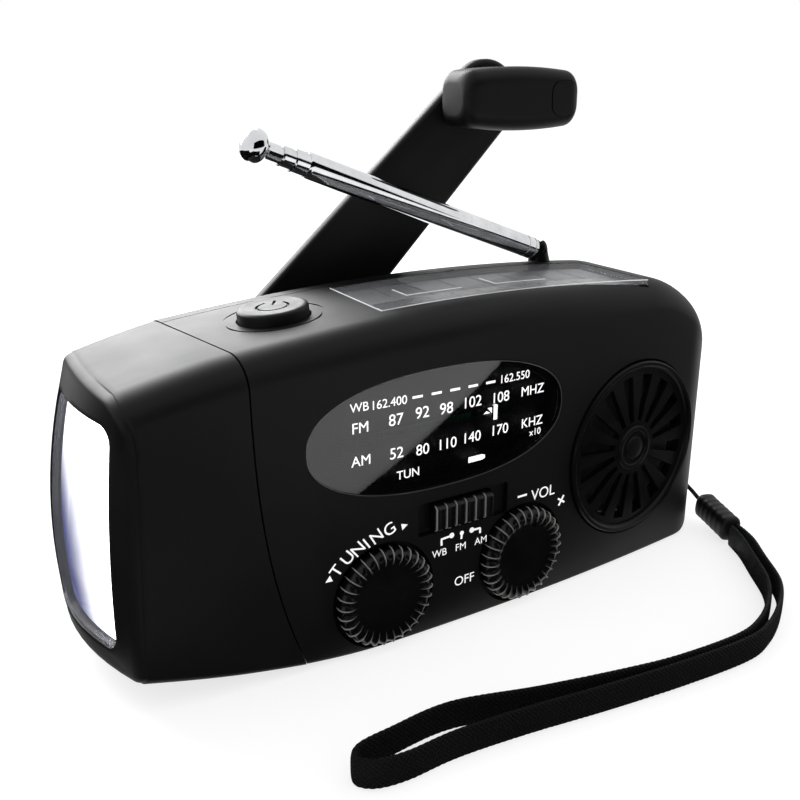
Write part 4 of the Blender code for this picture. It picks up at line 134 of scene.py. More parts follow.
# Finishes
@dataclass(frozen=True)
class Finish:
    """A finish whose colour and gloss drift over the surface, with a fine grain on top."""

    name: str
    dark: str
    light: str
    roughness: tuple[float, float]
    drift_mm: float = 18.0
    grain_mm: float = 0.3
    grain_depth_mm: float = 0.004
    metallic: float = 0.0
    specular: float = 0.5
    coat: float = 0.0
    coat_roughness: float = 0.05
    transmission: float = 0.0
    ior: float = 1.5
    sheen: float = 0.0
    glow: float = 0.0
    alpha: float = 1.0
    # Colour of a painted highlight, mixed in where the mesh's highlight mask is set; empty for none.
    painted_highlight: str = ""

    def material(self) -> bpy.types.Material:
        """Return the finish's material, made on first use."""
        made = bpy.data.materials.get(self.name)
        if made is not None:
            return made
        made = bpy.data.materials.new(self.name)
        made.use_nodes = True
        tree = made.node_tree
        shader = tree.nodes["Principled BSDF"]
        for socket, value in (("Metallic", self.metallic), ("Specular IOR Level", self.specular),
                              ("Coat Weight", self.coat), ("Coat Roughness", self.coat_roughness),
                              ("Transmission Weight", self.transmission), ("IOR", self.ior),
                              ("Sheen Weight", self.sheen), ("Alpha", self.alpha)):
            shader.inputs[socket].default_value = value
        shader.inputs["Emission Strength"].default_value = self.glow
        place = add_node(tree, "ShaderNodeTexCoord").outputs["Object"]
        colour, height = self.pattern(tree, place)
        # Painted highlight: the per-vertex mask mixes the highlight colour into the base colour.
        if self.painted_highlight:
            highlight_mask = add_node(tree, "ShaderNodeAttribute", {"attribute_name": "highlight_mask"}).outputs["Fac"]
            colour = add_node(tree, "ShaderNodeMix", {"data_type": "RGBA"}, {
                0: highlight_mask, 6: colour, 7: linear(self.painted_highlight)}).outputs[2]
        if self.glow:
            tree.links.new(colour, shader.inputs["Emission Color"])
        drift = add_node(tree, "ShaderNodeTexNoise", inputs={
            "Vector": place, "Scale": 1 / (self.drift_mm * MM), "Detail": 4.0, "Roughness": 0.55})
        low, high = self.roughness
        gloss = add_node(tree, "ShaderNodeMapRange", inputs={
            "Value": drift.outputs["Fac"], "From Min": 0.35, "From Max": 0.65, "To Min": low, "To Max": high})
        tree.links.new(colour, shader.inputs["Base Color"])
        tree.links.new(gloss.outputs["Result"], shader.inputs["Roughness"])
        bump = add_node(tree, "ShaderNodeBump", inputs={"Height": height, "Distance": self.grain_depth_mm * MM})
        tree.links.new(bump.outputs["Normal"], shader.inputs["Normal"])
        return made

    def pattern(self, tree: bpy.types.NodeTree,
                place: bpy.types.NodeSocket) -> tuple[bpy.types.NodeSocket, bpy.types.NodeSocket]:
        """Build the finish's colour and height.

        Args:
            tree: The material's node tree.
            place: The object coordinates.

        Returns:
            The colour socket and the height socket.
        """
        drift = add_node(tree, "ShaderNodeTexNoise", inputs={
            "Vector": place, "Scale": 1 / (self.drift_mm * MM), "Detail": 5.0, "Roughness": 0.6})
        ramp = add_node(tree, "ShaderNodeMapRange", inputs={
            "Value": drift.outputs["Fac"], "From Min": 0.3, "From Max": 0.7})
        colour = add_node(tree, "ShaderNodeMix", {"data_type": "RGBA"}, {
            0: ramp.outputs["Result"], 6: linear(self.dark), 7: linear(self.light)})
        grain = add_node(tree, "ShaderNodeTexNoise", inputs={
            "Vector": place, "Scale": 1 / (self.grain_mm * MM), "Detail": 2.0})
        return colour.outputs[2], grain.outputs["Fac"]


@dataclass(frozen=True)
class BandedFinish(Finish):
    """A finish with fine bands across one axis, as turning, drawing or winding leaves."""

    band_mm: float = 0.5
    band_axis: Point = (1.0, 0.0, 0.0)
    band_edge: float = 0.5
    soft: bool = True

    def pattern(self, tree: bpy.types.NodeTree,
                place: bpy.types.NodeSocket) -> tuple[bpy.types.NodeSocket, bpy.types.NodeSocket]:
        """Build bands along the axis, between the dark and the light colour."""
        along = add_node(tree, "ShaderNodeVectorMath", {"operation": "DOT_PRODUCT"}, {
            0: place, 1: tuple(v / (self.band_mm * MM) for v in self.band_axis)})
        share = add_node(tree, "ShaderNodeMath", {"operation": "FRACT"}, {0: along.outputs["Value"]})
        centred = add_node(tree, "ShaderNodeMath", {"operation": "SUBTRACT"}, {0: share.outputs[0], 1: 0.5})
        away = add_node(tree, "ShaderNodeMath", {"operation": "ABSOLUTE"}, {0: centred.outputs[0]})
        if self.soft:
            height = add_node(tree, "ShaderNodeMapRange", {"interpolation_type": "SMOOTHSTEP"}, {
                "Value": away.outputs[0], "From Min": 0.0, "From Max": 0.5, "To Min": 1.0, "To Max": 0.0})
        else:
            height = add_node(tree, "ShaderNodeMapRange", inputs={
                "Value": away.outputs[0], "From Min": self.band_edge, "From Max": self.band_edge + 0.02,
                "To Min": 1.0, "To Max": 0.0})
        colour = add_node(tree, "ShaderNodeMix", {"data_type": "RGBA"}, {
            0: height.outputs["Result"], 6: linear(self.dark), 7: linear(self.light)})
        return colour.outputs[2], height.outputs["Result"]


@dataclass(frozen=True)
class BraidFinish(Finish):
    """Flat braided cord: two sets of strands that cross over and under along the ribbon."""

    strand_mm: float = 0.8

    def pattern(self, tree: bpy.types.NodeTree,
                place: bpy.types.NodeSocket) -> tuple[bpy.types.NodeSocket, bpy.types.NodeSocket]:
        """Build the braid from the ribbon's own map, whose units are metres."""
        mapped = add_node(tree, "ShaderNodeUVMap", {"uv_map": "ribbon"}).outputs["UV"]
        heights = []
        for across in (1.0, -1.0):
            along = add_node(tree, "ShaderNodeVectorMath", {"operation": "DOT_PRODUCT"}, {
                0: mapped, 1: (1 / (self.strand_mm * MM), across / (self.strand_mm * MM), 0.0)})
            turn = add_node(tree, "ShaderNodeMath", {"operation": "MULTIPLY"}, {0: along.outputs["Value"], 1: pi})
            wave = add_node(tree, "ShaderNodeMath", {"operation": "SINE"}, {0: turn.outputs[0]})
            heights.append(add_node(tree, "ShaderNodeMath", {"operation": "ABSOLUTE"}, {0: wave.outputs[0]}))
        over = add_node(tree, "ShaderNodeMath", {"operation": "MULTIPLY"}, {
            0: heights[0].outputs[0], 1: heights[1].outputs[0]})
        fuzz = add_node(tree, "ShaderNodeTexNoise", inputs={"Vector": place, "Scale": 1 / (0.12 * MM), "Detail": 2.0})
        height = add_node(tree, "ShaderNodeMath", {"operation": "MULTIPLY_ADD"}, {
            0: fuzz.outputs["Fac"], 1: 0.35, 2: over.outputs[0]})
        # Painted highlight: the strands' crests take the lighter colour.
        colour = add_node(tree, "ShaderNodeMix", {"data_type": "RGBA"}, {
            0: over.outputs[0], 6: linear(self.dark), 7: linear(self.light)})
        return colour.outputs[2], height.outputs[0]


# Rubber-coated ABS moulding: almost black, matt, with a fine spark-eroded grain. The real grain
# of about 0.1 mm is drawn at 0.28 mm so that it shows.
SOFT_BLACK = Finish("soft_touch_abs_moulded", "#050506", "#09090a", (0.46, 0.54), 22.0, 0.28, 0.0030, specular=0.18)
# Glossy injection-moulded ABS: the same black, wet-looking, with faint flow ripples.
GLOSS_BLACK = Finish("gloss_abs_moulded", "#040405", "#08080a", (0.28, 0.36), 12.0, 1.4, 0.002, specular=0.14)
# Satin ABS of the knobs and the slider: a little smoother than the body, so that the ribs catch light. Their pale rib
# crests are a painted highlight.
KNOB_BLACK = Finish("satin_abs_moulded", "#040405", "#08080a", (0.22, 0.28), 9.0, 0.22, 0.0015, specular=0.22,
                    painted_highlight="#b4b4b0")
# Pale, faintly glowing lines on the solar cover's polished left and front edges: a painted highlight where the edge
# catches light.
COVER_EDGE_HIGHLIGHT = Finish("acrylic_edge_polished", "#cfcfcf", "#e6e6e6", (0.3, 0.4), 6.0, 0.3, 0.001, glow=0.1)
# A thin pale line round the dial's window: a painted highlight on the moulded ABS rim.
DIAL_RIM_HIGHLIGHT = Finish("abs_edge_rubbed", "#3c3c3a", "#5e5e5c", (0.3, 0.4), 6.0, 0.3, 0.001, specular=0.3)
# Silicone rubber, moulded: matt and faintly dusty.
RUBBER = Finish("silicone_rubber_moulded", "#070708", "#0d0d0f", (0.42, 0.50), 6.0, 0.18, 0.003, specular=0.2)
# Chromium plate over drawn brass tube: mirror bright with faint handling marks.
CHROME = Finish("chrome_plated_brass_drawn", "#c9cacd", "#e4e5e7", (0.05, 0.10), 5.0, 0.6, 0.0006, 1.0)
# Zinc-plated steel, turned and stamped: grey, slightly cloudy.
STEEL = Finish("zinc_plated_steel_stamped", "#8d8f93", "#a9abad", (0.25, 0.38), 2.5, 0.15, 0.002, 1.0)
# Polished clear acrylic over the solar cells. Its colour only tints what shows through.
CLEAR = Finish("clear_acrylic_moulded", "#c4c6ca", "#d2d4d8", (0.05, 0.10), 15.0, 3.0, 0.0008, ior=1.5, alpha=0.10)
# Clear polycarbonate lamp lens, moulded: it passes most of the light.
LAMP_CLEAR = Finish("clear_polycarbonate_moulded", "#dfe5ff", "#ffffff", (0.04, 0.08), 12.0, 2.0, 0.002, ior=1.58,
                    alpha=0.05)
# Vacuum-metallised reflector with painted light: painted navy at its mouth and painted glowing white where the lamps
# light it.
MIRROR = BandedFinish("reflector_painted_lamp_light", "#101436", "#ffffff", (0.10, 0.18), 6.0, 0.8, 0.01, 1.0,
                      glow=5.0, band_mm=11.4)
# Water-clear epoxy over a white light source.
LAMP_WHITE = Finish("white_led_epoxy_cast", "#f3f6ff", "#ffffff", (0.15, 0.2), 2.0, 0.5, 0.001, glow=14.0)
# A cool white glowing panel behind the lamps: painted glare of the lit lamps, which the real lamp has no part for.
LAMP_GLARE = Finish("painted_lamp_glare", "#b4c4ff", "#ffffff", (0.5, 0.6), 2.2, 0.4, 0.002, glow=2.6)
# Smoke-tinted acrylic dial window: it mirrors the pale floor over a black card.
SMOKE = Finish("dial_window_acrylic_polished", "#020203", "#050506", (0.02, 0.04), 20.0, 4.0, 0.0004, ior=2.0,
               alpha=0.45)
# Screen-printed black dial card behind the window.
DIAL_BLACK = Finish("dial_card_matt_printed", "#040405", "#070708", (0.40, 0.50), 8.0, 0.5, 0.0004, specular=0.1)
# Amorphous silicon cells on glass: purple-brown strips split by laser-cut lines.
CELL = BandedFinish("amorphous_silicon_laser_scribed", "#2a2a30", "#120d14", (0.16, 0.24), 10.0, 1.0, 0.002,
                    band_mm=5.3, band_edge=0.46, soft=False)
# White screen-printing ink, slightly chalky, with a faint painted glow that lifts it.
INK = Finish("white_ink_screen_printed", "#e6e6e6", "#f6f6f6", (0.45, 0.6), 1.5, 0.12, 0.001, glow=0.25)
# The same ink behind the tinted window, made to glow brightly so that it reads through the tint: white print with a
# painted glow.
DIAL_INK = Finish("white_ink_under_window", "#f0f0f0", "#ffffff", (0.45, 0.6), 1.5, 0.12, 0.001, glow=4.0)
# White moulded pointer.
WHITE = Finish("white_abs_moulded", "#dedede", "#efefef", (0.35, 0.45), 3.0, 0.2, 0.001)
# Glass-epoxy board under green lacquer, with the weave showing through.
BOARD = BandedFinish("green_circuit_board_lacquered", "#0d3a20", "#145530", (0.3, 0.4), 8.0, 0.4, 0.002, band_mm=0.9)
PART_GREY = Finish("dark_grey_ferrite_pressed", "#2a2b2e", "#3a3b3e", (0.45, 0.6), 3.0, 0.3, 0.004)
# Natural acetal, moulded: ivory and waxy.
ACETAL = Finish("natural_acetal_moulded", "#c9c2ac", "#ddd8c6", (0.35, 0.45), 5.0, 0.3, 0.002)
# Enamelled copper wire, wound side by side; real 0.1 mm wire is drawn at 0.35 mm so that it shows.
COPPER = BandedFinish("enamelled_copper_wound", "#5c2410", "#b4602e", (0.25, 0.35), 4.0, 0.3, 0.08, 0.9, band_mm=0.35)
PAPER = Finish("black_paper_cone_pressed", "#121110", "#1c1a18", (0.8, 0.95), 4.0, 0.2, 0.02)
SLEEVE = Finish("pvc_shrink_sleeve", "#123a6e", "#1a4c8a", (0.25, 0.35), 8.0, 0.8, 0.003)
# Braided nylon cord, black, with a cool gleam painted onto the crest of each strand: a painted highlight.
BRAID = BraidFinish("braided_nylon_black", "#010102", "#08090e", (0.50, 0.65), 6.0, 0.3, 0.14, sheen=0.015,
                    specular=0.12)
# Bluish translucent panel behind the solar strip.
SOLAR_GREY = Finish("solar_laminate_grey", "#3a3b3d", "#47484b", (0.35, 0.45), 8.0, 1.0, 0.0001)

NODE_FINISHES: dict[str, Finish] = {
    "soft_black": SOFT_BLACK, "gloss_black": GLOSS_BLACK, "knob_black": KNOB_BLACK, "rubber": RUBBER,
    "chrome": CHROME, "steel": STEEL, "clear": CLEAR, "lamp_white": LAMP_WHITE, "smoke": SMOKE, "cell": CELL,
    "white": WHITE, "board_green": BOARD, "part_grey": PART_GREY, "gear_ivory": ACETAL, "copper": COPPER,
    "paper": PAPER, "cell_wrap": SLEEVE, "webbing": BRAID,
}


# Modelling helpers
def only(item: bpy.types.Object) -> None:
    """Make item the one selected and active object."""
    bpy.ops.object.select_all(action="DESELECT")
    item.select_set(True)
    bpy.context.view_layer.objects.active = item


def loft(name: str, rings: Sequence[Sequence[Vector]], closed: bool = False) -> bpy.types.Object:
    """Skin rings of points into one closed mesh object.

    Args:
        name: The object's name.
        rings: The rings, each with the same number of points.
        closed: Whether the last ring joins the first, in place of end caps.

    Returns:
        The object, at the origin.
    """
    shape = bmesh.new()
    loops = [[shape.verts.new(point) for point in ring] for ring in rings]
    pairs = list(zip(loops, loops[1:])) + ([(loops[-1], loops[0])] if closed else [])
    for first, second in pairs:
        for i in range(len(first)):
            j = (i + 1) % len(first)
            shape.faces.new((first[i], first[j], second[j], second[i]))
    if not closed:
        shape.faces.new(loops[0])
        shape.faces.new(loops[-1])
    bmesh.ops.recalc_face_normals(shape, faces=shape.faces)
    mesh = bpy.data.meshes.new(name)
    shape.to_mesh(mesh)
    shape.free()
    item = bpy.data.objects.new(name, mesh)
    bpy.context.scene.collection.objects.link(item)
    return item


def turned(name: str, profile: Sequence[tuple[float, float]], place: Matrix, steps: int = 64) -> bpy.types.Object:
    """Spin a profile of radius and height about an axis in edit mode.

    Args:
        name: The object's name.
        profile: Radius and height pairs, from one end to the other; it closes on the axis.
        place: The frame whose Z is the axis.
        steps: How many steps make the turn.

    Returns:
        The object, with its place in its mesh.
    """
    mesh = bpy.data.meshes.new(name)
    mesh.from_pydata([(r, 0, z) for r, z in profile], [(i, i + 1) for i in range(len(profile) - 1)], [])
    item = bpy.data.objects.new(name, mesh)
    bpy.context.scene.collection.objects.link(item)
    only(item)
    bpy.ops.object.mode_set(mode="EDIT")
    bpy.ops.mesh.select_all(action="SELECT")
    bpy.ops.mesh.spin(steps=steps, angle=tau, center=(0, 0, 0), axis=(0, 0, 1), use_auto_merge=True)
    bpy.ops.mesh.select_all(action="SELECT")
    bpy.ops.mesh.remove_doubles(threshold=0.000001)
    bpy.ops.mesh.normals_make_consistent(inside=False)
    bpy.ops.object.mode_set(mode="OBJECT")
    item.data.transform(place)
    return item


def box(name: str, low: Iterable[float], high: Iterable[float], place: Matrix = Matrix()) -> bpy.types.Object:
    """Add a cube between two corners, as a tool or as the start of a piece."""
    low, high = Vector(low), Vector(high)
    bpy.ops.object.select_all(action="DESELECT")
    bpy.ops.mesh.primitive_cube_add(size=1, location=(0, 0, 0))
    item = bpy.context.object
    item.name = name
    item.data.transform(place @ Matrix.Translation((low + high) / 2) @ Matrix.Diagonal((*(high - low), 1)))
    return item


def rod(name: str, radius: float, low: float, high: float, place: Matrix, sides: int = 64) -> bpy.types.Object:
    """Add a cylinder along the frame's Z, as a tool or as the start of a piece."""
    bpy.ops.object.select_all(action="DESELECT")
    bpy.ops.mesh.primitive_cylinder_add(vertices=sides, radius=radius, depth=high - low, location=(0, 0, 0))
    item = bpy.context.object
    item.name = name
    item.data.transform(place @ Matrix.Translation((0, 0, (low + high) / 2)))
    return item


def apply_modifiers(item: bpy.types.Object) -> None:
    """Apply all of the object's modifiers."""
    only(item)
    for modifier in list(item.modifiers):
        bpy.ops.object.modifier_apply(modifier=modifier.name)


def carve(item: bpy.types.Object, tool: bpy.types.Object, how: str = "DIFFERENCE") -> None:
    """Combine item with a tool, which is used up.

    Args:
        item: The object that changes.
        tool: The tool object.
        how: DIFFERENCE, UNION or INTERSECT.
    """
    modifier = item.modifiers.new("carve", "BOOLEAN")
    modifier.object = tool
    modifier.operation = how
    modifier.solver = "EXACT"
    apply_modifiers(item)
    bpy.data.objects.remove(tool, do_unlink=True)


def soften(item: bpy.types.Object, width: float, segments: int = 3, angle: float = radians(35)) -> None:
    """Bevel the object's sharp edges."""
    modifier = item.modifiers.new("edge", "BEVEL")
    modifier.width = width
    modifier.segments = segments
    modifier.limit_method = "ANGLE"
    modifier.angle_limit = angle
    modifier.harden_normals = False
    apply_modifiers(item)


def smooth(item: bpy.types.Object, angle: float = radians(32)) -> None:
    """Shade the object smooth, with its sharp edges kept."""
    only(item)
    bpy.ops.object.shade_smooth_by_angle(angle=angle)


def smooth_like(item: bpy.types.Object, guide: bpy.types.Object) -> None:
    """Give the faces that lie on the guide's surface the guide's smooth normals.

    Args:
        item: The carved object.
        guide: The uncut surface, which is used up.
    """
    smooth(item)
    shape = bmesh.new()
    shape.from_mesh(guide.data)
    bmesh.ops.triangulate(shape, faces=shape.faces)
    shape.normal_update()
    corners = [vert.co.copy() for vert in shape.verts]
    normals = [vert.normal.copy() for vert in shape.verts]
    triangles = [[vert.index for vert in face.verts] for face in shape.faces]
    shape.free()
    tree = BVHTree.FromPolygons(corners, triangles)
    mesh = item.data
    kept = [Vector(corner.vector) for corner in mesh.corner_normals]
    for face in mesh.polygons:
        _, normal, _, distance = tree.find_nearest(face.center)
        if distance > 0.12 * MM or normal.dot(face.normal) < 0.9:
            continue
        for loop in face.loop_indices:
            place, normal, index, distance = tree.find_nearest(mesh.vertices[mesh.loops[loop].vertex_index].co)
            if distance > 0.12 * MM or normal.dot(face.normal) < 0.8:
                continue
            weights = poly_3d_calc([corners[i] for i in triangles[index]], place)
            kept[loop] = sum((normals[i] * w for i, w in zip(triangles[index], weights)), Vector()).normalized()
    mesh.normals_split_custom_set(kept)
    bpy.data.objects.remove(guide, do_unlink=True)


def paint_highlight_mask(item: bpy.types.Object, values: Sequence[float]) -> None:
    """Store how much painted highlight each of the object's vertices takes, for its finish."""
    layer = item.data.attributes.new("highlight_mask", "FLOAT", "POINT")
    for entry, value in zip(layer.data, values):
        entry.value = value


def merged_copy(node: str, name: str) -> bpy.types.Object:
    """Copy a CAD node's mesh into a new object, with its loose triangles merged.

    Args:
        node: The CAD node.
        name: The new object's name.

    Returns:
        The new object.
    """
    item = bpy.data.objects.new(name, bpy.data.objects[node].data.copy())
    bpy.context.scene.collection.objects.link(item)
    only(item)
    bpy.ops.object.mode_set(mode="EDIT")
    bpy.ops.mesh.select_all(action="SELECT")
    bpy.ops.mesh.remove_doubles(threshold=0.000002)
    bpy.ops.object.mode_set(mode="OBJECT")
    return item


def join_all(items: Sequence[bpy.types.Object], name: str) -> bpy.types.Object:
    """Join objects into the first, under one name."""
    only(items[0])
    for item in items:
        item.select_set(True)
    bpy.ops.object.join()
    joined = bpy.context.view_layer.objects.active
    joined.name = name
    return joined


def dress(item: bpy.types.Object, finish: Finish, body: Body, slot: str, *nodes: str) -> bpy.types.Object:
    """Give a finished piece its material and its body, and hide the nodes that it stands for.

    Args:
        item: The piece.
        finish: Its finish.
        body: The body that it rides on.
        slot: The record's material slot; it is not used.
        nodes: The CAD nodes that it replaces.

    Returns:
        The piece.
    """
    item.data.materials.clear()
    item.data.materials.append(finish.material())
    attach(item, body.value)
    if nodes:
        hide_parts(*nodes)
    LOG.info("%s: %d faces on %s", item.name, len(item.data.polygons), body.value)
    return item


def axis_frame(origin: Iterable[float], axis: Iterable[float], side: Iterable[float]) -> Matrix:
    """Return a frame with Z along axis and X as near side as it can be."""
    z = Vector(axis).normalized()
    y = z.cross(Vector(side)).normalized()
    matrix = Matrix((y.cross(z), y, z)).transposed().to_4x4()
    matrix.translation = Vector(origin)
    return matrix


def smooth_route(points: Sequence[Vector], steps: int) -> list[Vector]:
    """Read a Catmull-Rom curve through the points, steps to each run."""
    route = []
    for i in range(len(points) - 1):
        before, start, end, after = (points[max(0, min(len(points) - 1, i + k))] for k in (-1, 0, 1, 2))
        for step in range(steps):
            t = step / steps
            route.append(0.5 * (2 * start + (end - before) * t + (2 * before - 5 * start + 4 * end - after) * t ** 2
                                + (3 * start - before - 3 * end + after) * t ** 3))
    return route + [points[-1]]


# The body's measured form, as in the CAD model
LENGTH, DEPTH, HEIGHT, WALL = 0.140, 0.040, 0.0618, 0.0022
FRONT_RADIUS, FRONT_APEX = 0.590, -0.0478
ARCH_RADIUS, ARCH_X = 0.440, 0.01498
SEAM_X, SEAM_LEAN, SEAM_SLANT = -0.0425, 0.0086, 0.0058
END_CORNER_X, END_BULGE, END_LEAN = -0.0620, 0.0083, 0.0026
PARTING_Y = 0.0135


def front_y(x: float) -> float:
    """Return the front face's Y at x."""
    return -DEPTH / 2 + FRONT_RADIUS - sqrt(FRONT_RADIUS ** 2 - max(0.0, x - FRONT_APEX) ** 2)


def front_normal(x: float) -> Vector:
    """Return the front face's outward normal at x."""
    turn = asin(max(0.0, x - FRONT_APEX) / FRONT_RADIUS)
    return Vector((sin(turn), -cos(turn), 0))


def top_drop(x: float) -> float:
    """Return how far the arched top has dropped at x."""
    return (x - ARCH_X) ** 2 / (2 * ARCH_RADIUS)


def top_z(x: float) -> float:
    """Return the top face's Z at x."""
    return HEIGHT - top_drop(x)


def to_arch(x: float, z: float) -> float:
    """Bend a height down with the arched top."""
    return z - top_drop(x) * max(0.0, 2 * z / HEIGHT - 1)


def seam_x(y: float, z: float) -> float:
    """Return the X of the seam between the lamp head and the body."""
    return SEAM_X + SEAM_LEAN * ((HEIGHT - z) / HEIGHT) ** 3 - SEAM_SLANT * (y / DEPTH + 0.5)


def lamp_end_x(y: float, z: float) -> float:
    """Return the X of the bulged lamp end."""
    plan = 1 - ((y - 0.0065) / 0.0265) ** 2
    rise = 1 - ((z - 0.024) / 0.040) ** 2
    # The top of the end stays upright to a fairly sharp edge, so it fills out there.
    fill = 0.0018 * min(1.0, max(0.0, z - 0.047) / 0.012) ** 1.3
    return END_CORNER_X + END_LEAN * (2 * z / HEIGHT - 1) / 2 - END_BULGE * plan * rise - fill


def end_inset(x: float, radius: float, inset: float) -> float:
    """Return how far an edge has rounded in near the speaker's end."""
    r = radius - inset
    reach = min(1.0, max(0.0, (x - (LENGTH / 2 - inset - r)) / r))
    return inset + r * (1 - sqrt(max(0.0, 1 - reach ** 2)))


def bottom_rise(x: float) -> float:
    """Return how far the bottom has risen towards the lamp."""
    return 0.0061 * min(1.0, max(0.0, (-0.02002 - x) / 0.04396)) ** 1.6


def section(front: float, rear: float, low: float, high: float, edges: Sequence[float],
            steps: int = 12) -> list[tuple[float, float]]:
    """Return a rounded section as Y and Z pairs.

    Args:
        front: The section's lowest Y.
        rear: The section's highest Y.
        low: The section's lowest Z.
        high: The section's highest Z.
        edges: Radii of the front bottom, rear bottom, rear top and front top edges.
        steps: Steps in each rounded edge.

    Returns:
        The points, front bottom first.
    """
    limit = 0.49 * min(rear - front, high - low)
    fb, rb, rt, ft = (min(edge, limit) for edge in edges)
    middles = ((front + fb, low + fb, fb, pi), (rear - rb, low + rb, rb, 1.5 * pi),
               (rear - rt, high - rt, rt, 0.0), (front + ft, high - ft, ft, 0.5 * pi))
    points = []
    for y, z, r, start in middles:
        points += [(y + r * cos(start + k * pi / 2 / steps), z + r * sin(start + k * pi / 2 / steps))
                   for k in range(steps + 1)]
    runs = []
    for i, (y, z) in enumerate(points):
        runs.append((y, z))
        if i % (steps + 1) == steps:
            ny, nz = points[(i + 1) % len(points)]
            runs += [(y + (ny - y) * k / 10, z + (nz - z) * k / 10) for k in range(1, 10)]
    return runs


def body_ring(x: float, inset: float) -> Ring:
    """Return the body's section at x, drawn in by inset."""
    edges = [max(edge - inset, WALL / 4) for edge in (0.0010, 0.004, 0.0044, 0.0062)]
    points = section(front_y(x) + end_inset(x, 0.0100, inset), DEPTH / 2 - end_inset(x, 0.007, inset),
                     end_inset(x, 0.0080, inset) + bottom_rise(x), HEIGHT - end_inset(x, 0.0235, inset), edges)
    return [Vector((x, y, to_arch(x, z))) for y, z in points]


def body_skin(name: str, inset: float) -> bpy.types.Object:
    """Loft the whole body, from inside the lamp head to the speaker's end."""
    start, radius = SEAM_X - 2 * SEAM_SLANT, 0.0235 - inset
    straight = LENGTH / 2 - inset - radius
    places = [start + (straight - start) * i / 46 for i in range(46)]
    places += [straight + radius * sin(pi / 2 * min(0.9985, i / 30)) for i in range(31)]
    return loft(name, [body_ring(x, inset) for x in places])


def head_ring(share: float, inset: float, back: float) -> Ring:
    """Return one ring of the lamp head, share of the way from the seam to its end."""
    taper = max(0.0, (share - 0.42) / 0.58) ** 1.5
    start = SEAM_X + SEAM_LEAN + 0.001
    rise = bottom_rise(start + (END_CORNER_X - start) * share)
    edges = [max(a + (b - a) * share - inset, WALL / 4) for a, b in
             ((0.0010, 0.0016), (0.004, 0.004), (0.0044, 0.0046), (0.0062, 0.0068))]
    points = section(-DEPTH / 2 + 0.0008 * taper + inset, DEPTH / 2 - 0.0008 * taper - inset, rise + inset,
                     HEIGHT - 0.0019 * taper - inset, edges)
    ring = []
    for y, z in points:
        x = start + (lamp_end_x(y, z) + back - start) * share
        ring.append(Vector((x, y, to_arch(x, z))))
    return ring


def seam_tool(name: str, offset: float, side: float) -> bpy.types.Object:
    """Make a block whose one face is the curved seam.

    Args:
        name: The tool's name.
        offset: How far the face is moved along X.
        side: The X at which the block ends, on the side that it fills.

    Returns:
        The tool.
    """
    rings = []
    for i in range(41):
        z = -0.005 + (HEIGHT + 0.010) * i / 40
        held = min(HEIGHT, max(0.0, z))
        near, far = -DEPTH / 2 - 0.005, DEPTH / 2 + 0.005
        rings.append([Vector((seam_x(near, held) + offset, near, z)), Vector((seam_x(far, held) + offset, far, z)),
                      Vector((side, far, z)), Vector((side, near, z))])
    return loft(name, rings)


def face_frame(x: float, z: float) -> Matrix:
    """Return a frame on the front face, Z outward, X along the face and Y up."""
    return axis_frame((x, front_y(x), z), front_normal(x), (1, 0, 0))


def oval(half_x: float, half_y: float, power: float, count: int = 96) -> list[tuple[float, float]]:
    """Return a superellipse outline."""
    points = []
    for i in range(count):
        c, s = cos(tau * i / count), sin(tau * i / count)
        points.append((half_x * abs(c) ** (2 / power) * (1 if c >= 0 else -1),
                       half_y * abs(s) ** (2 / power) * (1 if s >= 0 else -1)))
    return points


def rounded(width: float, height: float, radius: float, steps: int = 8) -> list[tuple[float, float]]:
    """Return a rounded rectangle outline, anticlockwise."""
    points = []
    for sx, sy, start in ((1, 1, 0), (-1, 1, pi / 2), (-1, -1, pi), (1, -1, 1.5 * pi)):
        for k in range(steps + 1):
            turn = start + k * pi / 2 / steps
            points.append((sx * (width / 2 - radius) + radius * cos(turn),
                           sy * (height / 2 - radius) + radius * sin(turn)))
    return points


def prism(name: str, outline: Sequence[tuple[float, float]], low: float, high: float,
          place: Matrix | None = None) -> bpy.types.Object:
    """Extrude an outline along the frame's Z in edit mode.

    Args:
        name: The object's name.
        outline: The outline's X and Y pairs.
        low: The first face's Z.
        high: The last face's Z.
        place: The frame.

    Returns:
        The object, with its place in its mesh.
    """
    mesh = bpy.data.meshes.new(name)
    mesh.from_pydata([(x, y, low) for x, y in outline], [], [tuple(range(len(outline)))])
    item = bpy.data.objects.new(name, mesh)
    bpy.context.scene.collection.objects.link(item)
    only(item)
    bpy.ops.object.mode_set(mode="EDIT")
    bpy.ops.mesh.select_all(action="SELECT")
    bpy.ops.mesh.extrude_region_move(TRANSFORM_OT_translate={"value": (0, 0, high - low)})
    bpy.ops.mesh.select_all(action="SELECT")
    bpy.ops.mesh.normals_make_consistent(inside=False)
    bpy.ops.object.mode_set(mode="OBJECT")
    if place is not None:
        item.data.transform(place)
    return item


def on_front(item: bpy.types.Object) -> bpy.types.Object:
    """Wrap an object drawn flat, with X, Z and outward -Y, onto the curved front."""
    for vert in item.data.vertices:
        x, out, z = vert.co.x, -vert.co.y, vert.co.z
        vert.co = Vector((x, front_y(x), z)) + front_normal(x) * out
    item.data.update()
    return item


